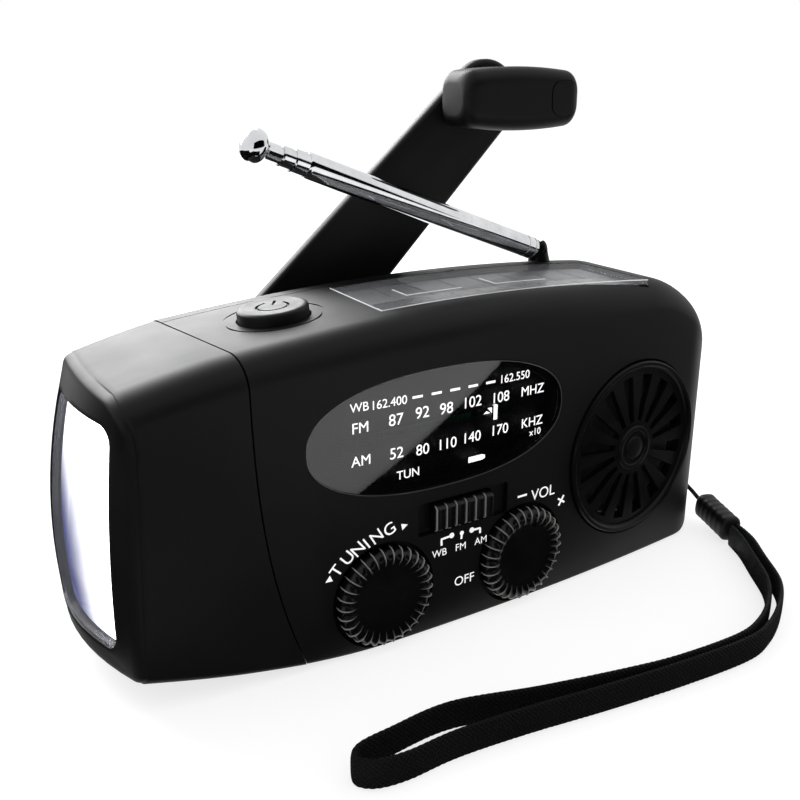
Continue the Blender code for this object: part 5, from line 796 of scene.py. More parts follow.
def grid_face(outline: Sequence[tuple[float, float]], name: str, low: float, high: float,
              steps: int = 28) -> bpy.types.Object:
    """Extrude an outline on the front plane, cut into columns so that it can bend.

    Args:
        outline: X and Z pairs.
        name: The object's name.
        low: How far out the back is.
        high: How far out the front is.
        steps: How many columns there are.

    Returns:
        The object, wrapped onto the front.
    """
    item = prism(name, outline, low, high, Matrix.Rotation(pi / 2, 4, "X"))
    shape = bmesh.new()
    shape.from_mesh(item.data)
    left, right = min(x for x, _ in outline), max(x for x, _ in outline)
    for i in range(1, steps):
        bmesh.ops.bisect_plane(shape, geom=shape.verts[:] + shape.edges[:] + shape.faces[:], dist=0.0000001,
                               plane_co=(left + (right - left) * i / steps, 0, 0), plane_no=(1, 0, 0))
    bmesh.ops.recalc_face_normals(shape, faces=shape.faces)
    shape.to_mesh(item.data)
    shape.free()
    return on_front(item)


# The photograph's camera and the studio
@dataclass(frozen=True)
class PhotoCamera:
    """The camera that took the photograph, in the row frame."""

    place: Point = (-0.08729, -0.15505, 0.09798)
    turn: float = radians(27.786)
    pitch: float = radians(18.278)
    roll: float = radians(-0.0876)
    lens: float = 42.769
    sensor: float = 36.0

    def build(self) -> bpy.types.Object:
        """Make the camera and set it as the scene's camera.

        Returns:
            The camera object.
        """
        ahead = Vector((sin(self.turn) * cos(self.pitch), cos(self.turn) * cos(self.pitch), -sin(self.pitch)))
        level = Vector((cos(self.turn), -sin(self.turn), 0))
        upward = level.cross(ahead)
        right = level * cos(self.roll) + upward * sin(self.roll)
        up = upward * cos(self.roll) - level * sin(self.roll)
        data = bpy.data.cameras.new("photo_camera")
        data.lens = self.lens
        data.sensor_width = self.sensor
        camera = bpy.data.objects.new("photo_camera", data)
        bpy.context.scene.collection.objects.link(camera)
        matrix = Matrix((right, up, -ahead)).transposed().to_4x4()
        matrix.translation = Vector(self.place)
        camera.matrix_world = matrix
        bpy.context.scene.camera = camera
        return camera


@dataclass(frozen=True)
class Lamp:
    """A soft rectangular studio light."""

    name: str
    place: Point
    aim: Point
    size: tuple[float, float]
    power: float

    def build(self) -> None:
        """Place the light and aim it."""
        data = bpy.data.lights.new(self.name, "AREA")
        data.shape = "RECTANGLE"
        data.size, data.size_y = self.size
        data.energy = self.power
        light = bpy.data.objects.new(self.name, data)
        bpy.context.scene.collection.objects.link(light)
        away = Vector(self.place) - Vector(self.aim)
        light.matrix_world = axis_frame(self.place, away, (1, 0, 0.001))


@dataclass(frozen=True)
class Flag:
    """A dark card that only reflections see, as a photographer blocks the light off glossy plastic."""

    name: str
    corners: tuple[Point, ...]

    def build(self) -> None:
        """Build the card and hide it from the camera and from the light on the floor."""
        mesh = bpy.data.meshes.new(self.name)
        mesh.from_pydata([Vector(corner) for corner in self.corners], [], [tuple(range(len(self.corners)))])
        card = bpy.data.objects.new(self.name, mesh)
        bpy.context.scene.collection.objects.link(card)
        card.data.materials.append(
            Finish("black_velvet_flag", "#020202", "#050505", (0.9, 1.0), 300.0, 2.0, 0.01, specular=0.0).material())
        card.visible_camera = False
        card.visible_diffuse = False
        card.visible_shadow = False
        card.visible_transmission = False


@dataclass(frozen=True)
class Studio:
    """A pale floor under a white sky, with soft lights behind and to the left, and black flags in front."""

    floor_size: float = 6.0
    sky: str = "#ffffff"
    sky_strength: float = 1.0
    lights: tuple[Lamp, ...] = (
        Lamp("back_left", (-0.10, 0.55, 0.36), (-0.03, 0.0, 0.06), (0.60, 0.40), 8.0),
    )
    flags: tuple[Flag, ...] = (
        Flag("front_flag", ((-1.2, -0.9, 0.02), (1.2, -0.9, 0.02), (1.2, -0.9, 0.9), (-1.2, -0.9, 0.9))),
        Flag("floor_flag", ((-0.100, -0.0226, 0.0002), (0.600, -0.3894, 0.0002), (0.600, -0.0210, 0.0002),
                            (-0.100, -0.0210, 0.0002))),
        Flag("head_flag", ((-0.300, -0.2000, 0.0003), (-0.006, -0.2000, 0.0003), (-0.006, -0.0600, 0.0003),
                           (-0.300, -0.0600, 0.0003))),
        Flag("left_flag", ((-0.900, -0.0600, 0.0003), (-0.074, -0.0600, 0.0003), (-0.074, 0.9000, 0.0003),
                           (-0.900, 0.9000, 0.0003))),
    )

    def build(self) -> None:
        """Build the floor, the sky, the lights and the flags."""
        bpy.context.scene.view_settings.view_transform = "Standard"
        world = bpy.data.worlds.new("studio")
        world.use_nodes = True
        bpy.context.scene.world = world
        sky = world.node_tree.nodes["Background"]
        sky.inputs["Color"].default_value = linear(self.sky)
        sky.inputs["Strength"].default_value = self.sky_strength
        bpy.ops.mesh.primitive_plane_add(size=self.floor_size, location=(0, 0, -0.0002))
        floor = bpy.context.object
        floor.name = "studio_floor"
        floor.data.materials.append(
            Finish("white_paper_sweep", "#9c9c9c", "#a2a2a2", (0.9, 1.0), 400.0, 4.0, 0.01, specular=0.1,
                   glow=2.1).material())
        for item in self.lights + self.flags:
            item.build()


@dataclass
class WristStrap:
    """The braided wrist strap: a ribbon loop, its stitched tab and the thread to the body."""

    width: float = 0.0050
    thickness: float = 0.0011
    height: float = 0.0028
    route: tuple[tuple[float, float], ...] = (
        (0.0688, -0.0199), (0.0668, -0.0260), (0.0628, -0.0328), (0.0572, -0.0420), (0.0506, -0.0478),
        (0.0433, -0.0520), (0.0360, -0.0541), (0.0217, -0.0543), (0.0049, -0.0535), (-0.0102, -0.0523),
        (-0.0230, -0.0519), (-0.0320, -0.0527), (-0.0371, -0.0521), (-0.0394, -0.0500), (-0.0377, -0.0478),
        (-0.0320, -0.0467), (-0.0204, -0.0455), (-0.0053, -0.0488), (0.0111, -0.0516), (0.0217, -0.0527),
        (0.0350, -0.0525), (0.0424, -0.0504), (0.0494, -0.0462), (0.0556, -0.0404), (0.0610, -0.0317),
        (0.0650, -0.0250), (0.0672, -0.0199))
    tab_start: Point = (0.0715, -0.0066, 0.0046)
    tab_end: Point = (0.0683, -0.0194, 0.0033)
    tab_width: float = 0.0058
    strand: float = 0.0011

    def build(self) -> None:
        path = smooth_route([Vector((x, y, self.height)) for x, y in self.route], 10)
        ribbon = self.ribbon(path)
        tab = self.tab()
        thread = self.thread()
        dress(ribbon, BRAID, Body.HOUSING, "webbing", "strap_ribbon")
        dress(tab, RUBBER, Body.HOUSING, "rubber", "strap_tab")
        dress(thread, BRAID, Body.HOUSING, "webbing", "strap_string")

    def ribbon(self, path: Sequence[Vector]) -> bpy.types.Object:
        """Loft the ribbon along its path, with the braid's scalloped edges and its own map.

        Args:
            path: The ribbon's middle line.

        Returns:
            The ribbon.
        """
        outline = oval(self.thickness / 2, self.width / 2, 3.0, 28)
        rings, along = [], 0.0
        fine = smooth_route(list(path), 3)
        for i, point in enumerate(fine):
            before, after = fine[max(0, i - 1)], fine[min(len(fine) - 1, i + 1)]
            side = Vector((0, 0, 1)).cross(after - before).normalized()
            along += (point - before).length
            scallop = 0.10 * MM * abs(sin(pi * along / self.strand))
            rings.append([
                point + side * a + Vector((0, 0, b + (scallop if b > 0 else -scallop) * abs(b) * 2 / self.width))
                for a, b in outline])
        item = loft("wrist_ribbon", rings)
        layer = item.data.uv_layers.new(name="ribbon")
        reach = [0.0]
        for a, b in zip(fine, fine[1:]):
            reach.append(reach[-1] + (b - a).length)
        count = len(outline)
        girth = [0.0]
        for (ax, ay), (bx, by) in zip(outline, outline[1:] + outline[:1]):
            girth.append(girth[-1] + hypot(bx - ax, by - ay))
        for face in item.data.polygons:
            columns = [item.data.loops[i].vertex_index % count for i in face.loop_indices]
            for loop in face.loop_indices:
                vertex = item.data.loops[loop].vertex_index
                column = vertex % count
                wrapped = count if column == 0 and max(columns) == count - 1 else column
                layer.data[loop].uv = (reach[vertex // count], girth[wrapped])
        smooth(item, radians(60))
        return item

    def tab(self) -> bpy.types.Object:
        """Build the moulded tab that the ribbon's ends are stitched into, with its ribs."""
        start, end = Vector(self.tab_start), Vector(self.tab_end)
        side = (end - start).cross(Vector((0, 0, 1))).normalized()
        place = axis_frame(start, end - start, side)
        reach = (end - start).length
        rings = []
        for i in range(33):
            share = i / 32
            rib = 0.04 * MM * (1 - cos(tau * 7 * share)) * (0.2 < share < 0.85)
            edge = min(1.0, sqrt(max(0.0, 1 - (2 * share - 1) ** 8)) + 0.12)
            rings.append([place @ Vector((a * edge, b * edge, reach * share))
                          for a, b in oval(0.0024 - rib, self.tab_width / 2 - rib, 3.0, 40)])
        item = loft("strap_clamp", rings)
        smooth(item, radians(50))
        return item

    def thread(self) -> bpy.types.Object:
        """Build the thin cord that loops from the tab round the post in the body."""
        return twin_cord("strap_thread", "strap_string", 0.00065)


def twin_cord(name: str, node: str, radius: float) -> bpy.types.Object:
    """Refine a thin CAD cord: subdivide it, shade it smooth and map it for the braid's strands.

    Args:
        name: The new piece's name.
        node: The CAD cord.
        radius: The cord's rough radius.

    Returns:
        The piece.
    """
    item = merged_copy(node, name)
    item.data.materials.clear()
    modifier = item.modifiers.new("round", "SUBSURF")
    modifier.levels = 2
    modifier.subdivision_type = "SIMPLE"
    apply_modifiers(item)
    maps = item.data.uv_layers
    layer = maps["ribbon"] if "ribbon" in maps else maps.new(name="ribbon")
    for loop in item.data.loops:
        co = item.data.vertices[loop.vertex_index].co
        layer.data[loop.index].uv = ((co.y - co.x) * radius / 0.00065, co.z)
    smooth(item, radians(60))
    return item


# Tools that follow the body
def bowl(radius: float, depth: float, chamfer: float) -> list[tuple[float, float]]:
    """Return the profile of a round recess tool with a chamfered mouth, from its floor outward."""
    return [(0, -depth), (radius - 0.2 * MM, -depth), (radius, -depth + 0.2 * MM), (radius, -chamfer),
            (radius + chamfer, 0.05 * MM), (radius + 4 * chamfer, 1.0 * MM), (0, 1.0 * MM)]


def top_slab(name: str, left: float, right: float, front: float, rear: float, low: float,
             high: float) -> bpy.types.Object:
    """Make a slab that follows the arched top."""
    rings = []
    for i in range(33):
        x = left + (right - left) * i / 32
        rings.append([Vector((x, y, top_z(x) + z)) for y, z in
                      ((front, low), (rear, low), (rear, high), (front, high))])
    return loft(name, rings)


def dial_outline(grow: float) -> list[tuple[float, float]]:
    """Return the dial's oval, with its blunt ends, as X and Z pairs."""
    return [(Dial.x + x, Dial.z + z) for x, z in oval(Dial.half_width + grow, Dial.half_height + grow, 2.3)]


def rear_frame(x: float, z: float) -> Matrix:
    """Return a frame whose Z points out of the rear."""
    return axis_frame((x, 0, z), (0, 1, 0), (1, 0, 0))


def button_frame() -> Matrix:
    """Return the power button's frame, Z out of the arched top."""
    x = -0.2193 * LENGTH
    return axis_frame((x, 0, top_z(x)), ((x - ARCH_X) / ARCH_RADIUS, 0, 1), (1, 0, 0))


@dataclass
class Housing:
    """The front and rear shells with their recesses, pockets and seats."""

    chamfer: float = 0.00022
    parting: float = 0.00012
    screws: tuple[tuple[float, float], ...] = ((-0.2429, 0.862), (0.4129, 0.796), (-0.1714, 0.1133), (0.4107, 0.1262))
    pocket: tuple[Point, Point] = ((0.0346, 0.0084, 0.0279), (0.0638, 0.0230, 0.0421))
    notch: tuple[Point, Point] = ((0.0650, 0.0030, 0.0064), (0.0750, 0.0090, 0.0116))

    def build(self) -> None:
        """Build both shells."""
        cavity = body_skin("cavity", WALL)
        for block in (top_slab("tray", -0.0175, 0.0488, -0.0130, 0.0150, -0.0035, 0.0020),
                      box("pocket_wall", Vector(self.pocket[0]) - Vector((1, 1, 1)) * 0.0012,
                          Vector(self.pocket[1]) + Vector((0.0012, 0, 0.0012))),
                      box("notch_wall", Vector(self.notch[0]) - Vector((1, 1, 1)) * WALL,
                          Vector(self.notch[1]) + Vector((0, WALL, WALL))),
                      rod("hub_wall", 0.0122, 0.0165, 0.0230, rear_frame(-0.2514 * LENGTH, 0.0350)),
                      box("port_wall", (-0.0176, 0.0138, 0.0054), (0.0006, 0.0230, 0.0156)),
                      rod("antenna_wall", 0.0036, 0.050, 0.070, Matrix.Translation((0.2718 * LENGTH, 0.0166, 0)))):
            carve(cavity, block)
        body = body_skin("body", 0)
        carve(body, cavity)
        carve(body, seam_tool("seam_cut", 0.15 * MM, -LENGTH))
        rear = body.copy()
        rear.data = body.data.copy()
        rear.name = "rear_shell"
        bpy.context.scene.collection.objects.link(rear)
        self.front(body)
        self.rear(rear)

    def front(self, shell: bpy.types.Object) -> None:
        """Cut the front shell's openings.

        Args:
            shell: The hollow body.
        """
        shell.name = "front_shell"
        carve(shell, box("front_half", (-0.1, -0.1, -0.1), (0.1, PARTING_Y - self.parting, 0.1)), "INTERSECT")
        carve(shell, top_slab("solar_pocket", SolarPanel.left - GAP, SolarPanel.right + GAP, SolarPanel.front - GAP,
                              SolarPanel.rear + GAP, -0.0019, 0.003))
        carve(shell, grid_face(dial_outline(GAP / 2), "dial_seat", -0.0013, 0.003))
        carve(shell, grid_face(dial_outline(-0.0014), "dial_opening", -0.005, 0.001))
        for x in (RotaryKnob.tuning_x, RotaryKnob.volume_x):
            carve(shell, turned("knob_recess", bowl(0.0103, 0.0014, self.chamfer), face_frame(x, RotaryKnob.z), 96))
            carve(shell, rod("knob_bore", 0.0028, -0.004, 0.001, face_frame(x, RotaryKnob.z)))
        band = face_frame(-0.0017, 0.0235)
        recess = prism("band_recess", rounded(0.0203, 0.0064, 0.0006), -0.0012, 0.002, band)
        carve(shell, recess)
        carve(shell, prism("band_slot", rounded(0.0115, 0.0028, 0.0005), -0.004, 0.001, band))
        speaker = face_frame(SpeakerGrille.x, SpeakerGrille.z)
        carve(shell, turned("grille_seat", bowl(0.0187 + GAP, 0.0017, self.chamfer), speaker, 128))
        carve(shell, rod("speaker_hole", 0.0163, -0.004, 0.001, speaker, 96))
        button = button_frame()
        carve(shell, turned("button_hole", bowl(0.0064 + GAP, 0.0035, 0.0001), button, 96))
        self.ring_groove(shell, button)
        carve(shell, box("strap_notch", *self.notch))
        smooth_like(shell, body_skin("front_guide", 0))
        dress(shell, SOFT_BLACK, Body.HOUSING, "soft_black", "front_housing")

    def ring_groove(self, shell: bpy.types.Object, place: Matrix) -> None:
        """Cut the two arcs of the shallow ring round the power button.

        Args:
            shell: The front shell.
            place: The button's frame.
        """
        for name, radius, start, end in (("upper_arc", 0.0092, radians(-10), radians(150)),
                                         ("lower_arc", 0.0086, radians(165), radians(345))):
            rings = []
            for i in range(49):
                turn = start + (end - start) * i / 48
                taper = min(1.0, 6 * min(i, 48 - i) / 48 + 0.08)
                away = Vector((cos(turn), sin(turn), 0))
                rings.append([place @ (away * (radius + a) + Vector((0, 0, b))) for a, b in
                              ((-0.00032 * taper, 0.0004), (-0.00016 * taper, -0.0005 * taper),
                               (0.00016 * taper, -0.0005 * taper), (0.00032 * taper, 0.0004))])
            carve(shell, loft(name, rings))

    def rear(self, shell: bpy.types.Object) -> None:
        """Cut the rear shell's seats, pocket and recesses.

        Args:
            shell: The hollow body.
        """
        carve(shell, box("rear_half", (-0.1, PARTING_Y + self.parting, -0.1), (0.1, 0.1, 0.1)), "INTERSECT")
        hub = rear_frame(-0.2514 * LENGTH, 0.0350)
        carve(shell, turned("hub_seat", [(0, 0.0183), (0.0103, 0.0183), (0.0103, 0.0198), (0.0107, 0.0202),
                                         (0.0107, 0.023), (0, 0.023)], hub, 96))
        carve(shell, box("stow_pocket", *self.pocket))
        port = rear_frame(-0.0607 * LENGTH, 0.0105)
        carve(shell, prism("port_recess", rounded(0.0166, 0.0086, 0.0012), 0.0183, 0.023, port))
        carve(shell, prism("socket_bore", rounded(0.0088, 0.0038, 0.0015), 0.012, 0.019, port))
        for share_x, share_z in self.screws:
            place = rear_frame(share_x * LENGTH, share_z * HEIGHT)
            carve(shell, turned("screw_sink", [(0, 0.0170), (0.0025, 0.0170), (0.0025, 0.0197), (0.0028, 0.0201),
                                               (0.0028, 0.023), (0, 0.023)], place, 48))
        seat = top_z(0.2718 * LENGTH) - 0.0006
        place = Matrix.Translation((0.2718 * LENGTH, 0.0166, 0))
        carve(shell, rod("antenna_recess", 0.0027, seat, seat + 0.01, place))
        carve(shell, rod("antenna_bore", 0.0020, seat - 0.007, seat + 0.001, place))
        smooth_like(shell, body_skin("rear_guide", 0))
        dress(shell, SOFT_BLACK, Body.HOUSING, "soft_black", "rear_housing")


@dataclass
class LampHead:
    """The flashlight head with its window, lens, reflector and lamps."""

    edge: float = 0.0013
    window: tuple[float, float, float, float] = (-0.0145, 0.0125, 0.0100, 0.0485)
    corner: float = 0.0030
    reflector_back: float = -0.056
    facets: int = 9

    def window_ring(self, inset: float, back: float, flat_x: float | None = None) -> Ring:
        """Return a ring round the window.

        Args:
            inset: How far the ring is drawn in.
            back: How far it lies behind the bulged end.
            flat_x: The ring's X, in place of the bulged end's.

        Returns:
            The ring's points.
        """
        front, rear, low, high = self.window
        edges = [max(self.corner - inset, 0.0006)] * 4
        points = section(front + inset, rear - inset, low + inset, high - inset, edges)
        return [Vector((lamp_end_x(y, z) + back if flat_x is None else flat_x, y, z)) for y, z in points]

    def build(self) -> None:
        """Build the shell, the reflector, the lamps and the lens."""
        self.shell()
        self.reflector()
        self.lens()
        self.light_bar()
        for i in range(3):
            self.led(i)

    def skin(self, name: str) -> bpy.types.Object:
        """Loft the head's shell, in through the window and back inside."""
        rings = [head_ring(i / 32 * 0.955, 0, 0) for i in range(33)]
        for i in range(9):
            turn = pi / 2 * i / 8
            inset, back = self.edge * (1 - cos(turn)), self.edge * (1 - sin(turn))
            rings.append(head_ring(1.0, inset, back))
        outer, mouth = rings[-1], self.window_ring(-0.3 * MM, 0)
        rings += [[a.lerp(b, i / 6) for a, b in zip(outer, mouth)] for i in range(1, 6)]
        rings += [mouth, self.window_ring(-0.08 * MM, 0.08 * MM), self.window_ring(0, 0.3 * MM),
                  self.window_ring(0, WALL), head_ring(1.0, self.edge + WALL, WALL)]
        rings += [head_ring(share, WALL, WALL) for share in (0.9, 0.75, 0.6, 0.45, 0.3, 0.15, 0.0)]
        return loft(name, rings, closed=True)

    def shell(self) -> None:
        """Build the head's shell up to the seam."""
        item = self.skin("lamp_head_shell")
        carve(item, seam_tool("head_seam", -0.15 * MM, LENGTH))
        smooth_like(item, self.skin("head_guide"))
        dress(item, SOFT_BLACK, Body.HOUSING, "soft_black", "flashlight_head")

    def reflector(self) -> None:
        """Build the pressed reflector, whose bowl is cut into upright facets."""
        rings = []
        for i in range(15):
            share = i / 14
            inset = 0.0006 + 0.0050 * share ** 0.6
            ring = self.window_ring(inset, 0.0019)
            points = []
            for point in ring:
                x = point.x + (self.reflector_back - point.x) * share
                ripple = 0.00022 * abs(sin(pi * self.facets * (point.z - self.window[2]) / 0.0385)) * sin(pi * share)
                points.append(Vector((x, point.y + (ripple if point.y < 0 else -ripple), point.z)))
            rings.append(points)
        back = self.window_ring(0.0056, 0, self.reflector_back)
        middle = sum(back, Vector()) / len(back)
        rings += [[middle + (point - middle) * share for point in back] for share in (0.8, 0.5, 0.2)]
        front_rings = rings
        rear_rings = [[point + Vector((0.0008, 0, 0)) for point in ring] for ring in rings[::-1]]
        item = loft("lamp_mirror", front_rings + rear_rings)
        smooth(item, radians(25))
        # The reflector's finish paints the lamps' light onto it as a glowing colour.
        dress(item, MIRROR, Body.HOUSING, "chrome", "lamp_reflector")

    def lens(self) -> None:
        """Build the curved lens, with shallow fluting on its inner face."""
        outer, inner = [], []
        middle = Vector((0, -0.0010, 0.02925))
        for share in [0.02] + [i / 18 for i in range(1, 18)] + [0.985, 1.0]:
            ring = self.window_ring(0.4 * MM, 0)
            places = [(middle.y + (p.y - middle.y) * share, middle.z + (p.z - middle.z) * share) for p in ring]
            edge = 0.12 * MM if share == 1.0 else 0.0
            outer.append([Vector((lamp_end_x(y, z) + GAP + edge, y, z)) for y, z in places])
            flute = 0.10 * MM
            inner.append([Vector((lamp_end_x(y, z) + GAP + 1.2 * MM - flute * (0.5 + 0.5 * cos(tau * y / 0.0030)),
                                  y, z)) for y, z in places])
        item = loft("lamp_window", outer + inner[::-1])
        smooth(item, radians(40))
        dress(item, LAMP_CLEAR, Body.HOUSING, "clear", "lamp_lens")

    def light_bar(self) -> None:
        """Build the glowing panel behind the lamps, with a rounded outline: painted glare of the lit lamps."""
        place = axis_frame((self.reflector_back, -0.0010, 0.02925), (-1, 0, 0), (0, 1, 0))
        item = prism("lamp_light_bar", rounded(0.0105, 0.0300, 0.0030), 0.0002, 0.0012, place)
        soften(item, 0.3 * MM, 2)
        smooth(item)
        dress(item, LAMP_GLARE, Body.HOUSING, "lamp_white")

    def led(self, index: int) -> None:
        """Build one lamp: a rimmed base under a clear dome.

        Args:
            index: Which lamp, from the bottom.
        """
        place = axis_frame((self.reflector_back, -0.0010, 0.02925 + (index - 1) * 0.0105), (-1, 0, 0), (0, 1, 0))
        dome = [(0.0025 * cos(pi / 2 * i / 10), 0.0030 + 0.0025 * sin(pi / 2 * i / 10)) for i in range(11)]
        profile = [(0, 0), (0.0029, 0), (0.0029, 0.0008), (0.0025, 0.0010)] + dome[:-1] + [(0, 0.0055)]
        item = turned(f"led_dome_{index + 1}", profile, place, 48)
        smooth(item)
        dress(item, LAMP_WHITE, Body.HOUSING, "lamp_white", f"lamp_led_{index + 1}")


def lettering(name: str, text: str, height: float, place: Matrix, centred: bool = True) -> bpy.types.Object:
    """Set a word as a thin mesh.

    Args:
        name: The object's name.
        text: The generic word or number.
        height: The capitals' height.
        place: The frame of the word's middle, or of its left end.
        centred: Whether the place is the middle.

    Returns:
        The mesh, with its place in it.
    """
    curve = bpy.data.curves.new(name, "FONT")
    curve.body = text
    curve.size = height / 0.73
    curve.extrude = 0.012 * MM
    curve.align_x = "CENTER" if centred else "LEFT"
    curve.align_y = "CENTER"
    word = bpy.data.objects.new(name, curve)
    bpy.context.scene.collection.objects.link(word)
    only(word)
    bpy.ops.object.convert(target="MESH")
    word = bpy.context.object
    word.data.transform(place)
    return word


def face_word(name: str, text: str, height: float, x: float, z: float, depth: float = 0.0, turn: float = 0.0,
              centred: bool = True) -> bpy.types.Object:
    """Set a word on the curved front, depth behind it."""
    place = Matrix.Translation((x, 0, z)) @ Matrix.Rotation(turn, 4, "Y") @ Matrix.Rotation(pi / 2, 4, "X")
    word = lettering(name, text, height, place, centred)
    for vert in word.data.vertices:
        co = vert.co
        vert.co = Vector((co.x, front_y(co.x), co.z)) + front_normal(co.x) * (0.03 * MM - depth - co.y)
    word.data.update()
    return word


def face_line(name: str, points: Sequence[tuple[float, float]], width: float, depth: float = 0.0) -> bpy.types.Object:
    """Lay a thin printed line through X and Z points on the curved front."""
    fine = []
    for (ax, az), (bx, bz) in zip(points, points[1:]):
        fine += [(ax + (bx - ax) * i / 6, az + (bz - az) * i / 6) for i in range(6)]
    fine.append(points[-1])
    rings = []
    for i, (x, z) in enumerate(fine):
        (ax, az), (bx, bz) = fine[max(0, i - 1)], fine[min(len(fine) - 1, i + 1)]
        run = hypot(bx - ax, bz - az)
        nx, nz = -(bz - az) / run * width / 2, (bx - ax) / run * width / 2
        normal = front_normal(x)
        base = Vector((x, front_y(x), z)) - normal * depth
        rings.append([base + Vector((nx * a, 0, nz * a)) + normal * b for a, b in
                      ((1, 0.01 * MM), (1, 0.035 * MM), (-1, 0.035 * MM), (-1, 0.01 * MM))])
    return loft(name, rings)


@dataclass
class Dial:
    """The tuning dial: its card, the pointer, and the window with the scales printed behind it."""

    x = -0.0436 * LENGTH
    z = 0.0405
    half_width = 0.0273
    half_height = 0.0112
    print_depth: float = 0.00118
    words: tuple[tuple[str, float, float, float], ...] = (
        ("WB", -23.5, 47.2, 1.65), ("162.400", -17.75, 47.05, 1.65), ("162.550", 9.5, 47.25, 1.65),
        ("FM", -23.4, 43.5, 2.0), ("87", -16.4, 43.7, 2.2), ("92", -11.0, 44.05, 2.2), ("98", -5.9, 43.9, 2.2),
        ("102", -0.25, 44.1, 2.15), ("108", 6.25, 43.85, 2.1), ("MHZ", 14.0, 43.9, 1.95),
        ("AM", -23.3, 37.5, 1.95), ("52", -16.3, 37.5, 2.15), ("80", -10.9, 37.1, 2.1), ("110", -5.65, 37.15, 2.1),
        ("140", -0.2, 37.3, 2.1), ("170", 6.25, 37.5, 2.1), ("KHZ", 14.2, 37.5, 1.95), ("x10", 15.1, 35.3, 1.4),
        ("TUN", -13.9, 33.15, 1.7))

    def build(self) -> None:
        """Build the card, the print behind the window, the pointer and the window."""
        bpy.data.objects["dial_plate"].data.materials[0] = DIAL_BLACK.material()
        shift_x, shift_z = 0.527 * self.print_depth, -0.374 * self.print_depth
        prints = [face_word(f"dial_word_{i}", text, height * MM, x * MM + shift_x, z * MM + shift_z, self.print_depth)
                  for i, (text, x, z, height) in enumerate(self.words)]
        for i in range(5):
            start = -0.01305 + 0.00397 * i
            prints.append(face_line(f"dial_dash_{i}", [(start + shift_x, 0.0472 + shift_z),
                                                       (start + 0.0021 + shift_x, 0.0472 + shift_z)],
                                    0.45 * MM, self.print_depth))
        tag = [(-1.9, -0.55), (1.2, -0.55), (1.9, -0.3), (1.9, 0.3), (1.2, 0.55), (-1.9, 0.55)]
        prints.append(grid_face([(0.0011 + shift_x + a * MM, 0.03295 + shift_z + b * MM) for a, b in tag], "dial_tag",
                                0.01 * MM - self.print_depth, 0.035 * MM - self.print_depth, 6))
        # The dial's print glows: white print with a painted glow.
        dress(join_all(prints, "dial_print"), DIAL_INK, Body.HOUSING, "white")
        rim = dial_outline(-0.06 * MM)
        # The rim line is a painted highlight.
        dress(face_line("dial_rim", rim + rim[:1], 0.08 * MM), DIAL_RIM_HIGHLIGHT, Body.HOUSING, "soft_black")
        window = grid_face(dial_outline(-0.02 * MM), "dial_glass", -0.0011, -0.0002)
        soften(window, 0.15 * MM, 2)
        smooth(window, radians(20))
        dress(window, SMOKE, Body.HOUSING, "smoke", "dial_window")
        self.pointer()

    def pointer(self) -> None:
        """Build the pointer from the CAD form: a white bar on a black carriage."""
        item = merged_copy("dial_pointer", "pointer_bar")
        middle = Vector((0.0429 * LENGTH, 0, 0.0406))
        # The pointer's white bar takes the same painted glow.
        dress(item, DIAL_INK, Body.POINTER, "white", "dial_pointer")
        item.data.materials.append(DIAL_BLACK.material())
        for face in item.data.polygons:
            away = face.center - middle
            face.material_index = int(not -0.0005 < away.x < 0.0008 or abs(away.z) > 0.0017)


@dataclass
class FacePrint:
    """The white words, arrows and switch marks printed on the front."""

    tuning: tuple[tuple[str, float, float], ...] = (
        ("T", -28.4, 18.1), ("U", -26.2, 20.05), ("N", -24.15, 21.2), ("I", -22.45, 21.85), ("N", -20.45, 22.7),
        ("G", -17.8, 23.45))

    def build(self) -> None:
        """Print all the marks and join them."""
        prints = []
        for i, (letter, x, z) in enumerate(self.tuning):
            lean = -radians(48 - 4.5 * i)
            prints.append(face_word(f"tuning_{i}", letter, 2.5 * MM, x * MM, z * MM, turn=lean))
        for i, (x, z, turn) in enumerate(((-29.9, 16.8, radians(205)), (-14.9, 23.4, radians(10)))):
            prints.append(self.arrow(f"arrow_{i}", x * MM, z * MM, turn))
        for text, x, z, height in (("OFF", -1.4, 8.75, 1.95), ("VOL", 17.5, 22.1, 2.35), ("WB", -7.2, 15.9, 1.5),
                                   ("FM", -2.4, 15.95, 1.5), ("AM", 2.3, 16.0, 1.5)):
            prints.append(face_word("mark_" + text, text, height * MM, x * MM, z * MM))
        lines = ([(-6.75, 17.35), (-6.8, 18.65), (-4.6, 18.8)], [(-2.3, 17.55), (-2.2, 18.7)],
                 [(0.2, 18.7), (2.05, 18.65), (2.05, 17.6)], [(11.0, 22.8), (13.3, 22.8)],
                 [(21.6, 19.8), (23.4, 18.6)], [(21.87, 18.2), (23.13, 20.2)])
        prints += [face_line(f"face_line_{i}", [(x * MM, z * MM) for x, z in line], 0.42 * MM)
                   for i, line in enumerate(lines)]
        for x, z, r in ((-4.5, 18.85, 0.55), (-2.2, 18.75, 0.45), (0.1, 18.75, 0.55)):
            dot = grid_face([((x + r * cos(tau * i / 20)) * MM, (z + r * sin(tau * i / 20)) * MM)
                             for i in range(20)], "band_dot", 0.01 * MM, 0.035 * MM, 4)
            prints.append(dot)
        dress(join_all(prints, "face_print"), INK, Body.HOUSING, "white")

    def arrow(self, name: str, x: float, z: float, turn: float) -> bpy.types.Object:
        """Print a small triangle that points along turn."""
        outline = [(x + 0.0008 * cos(turn + a), z + 0.0008 * sin(turn + a)) for a in (0, radians(125), radians(235))]
        return grid_face(outline, name, 0.01 * MM, 0.035 * MM, 4)


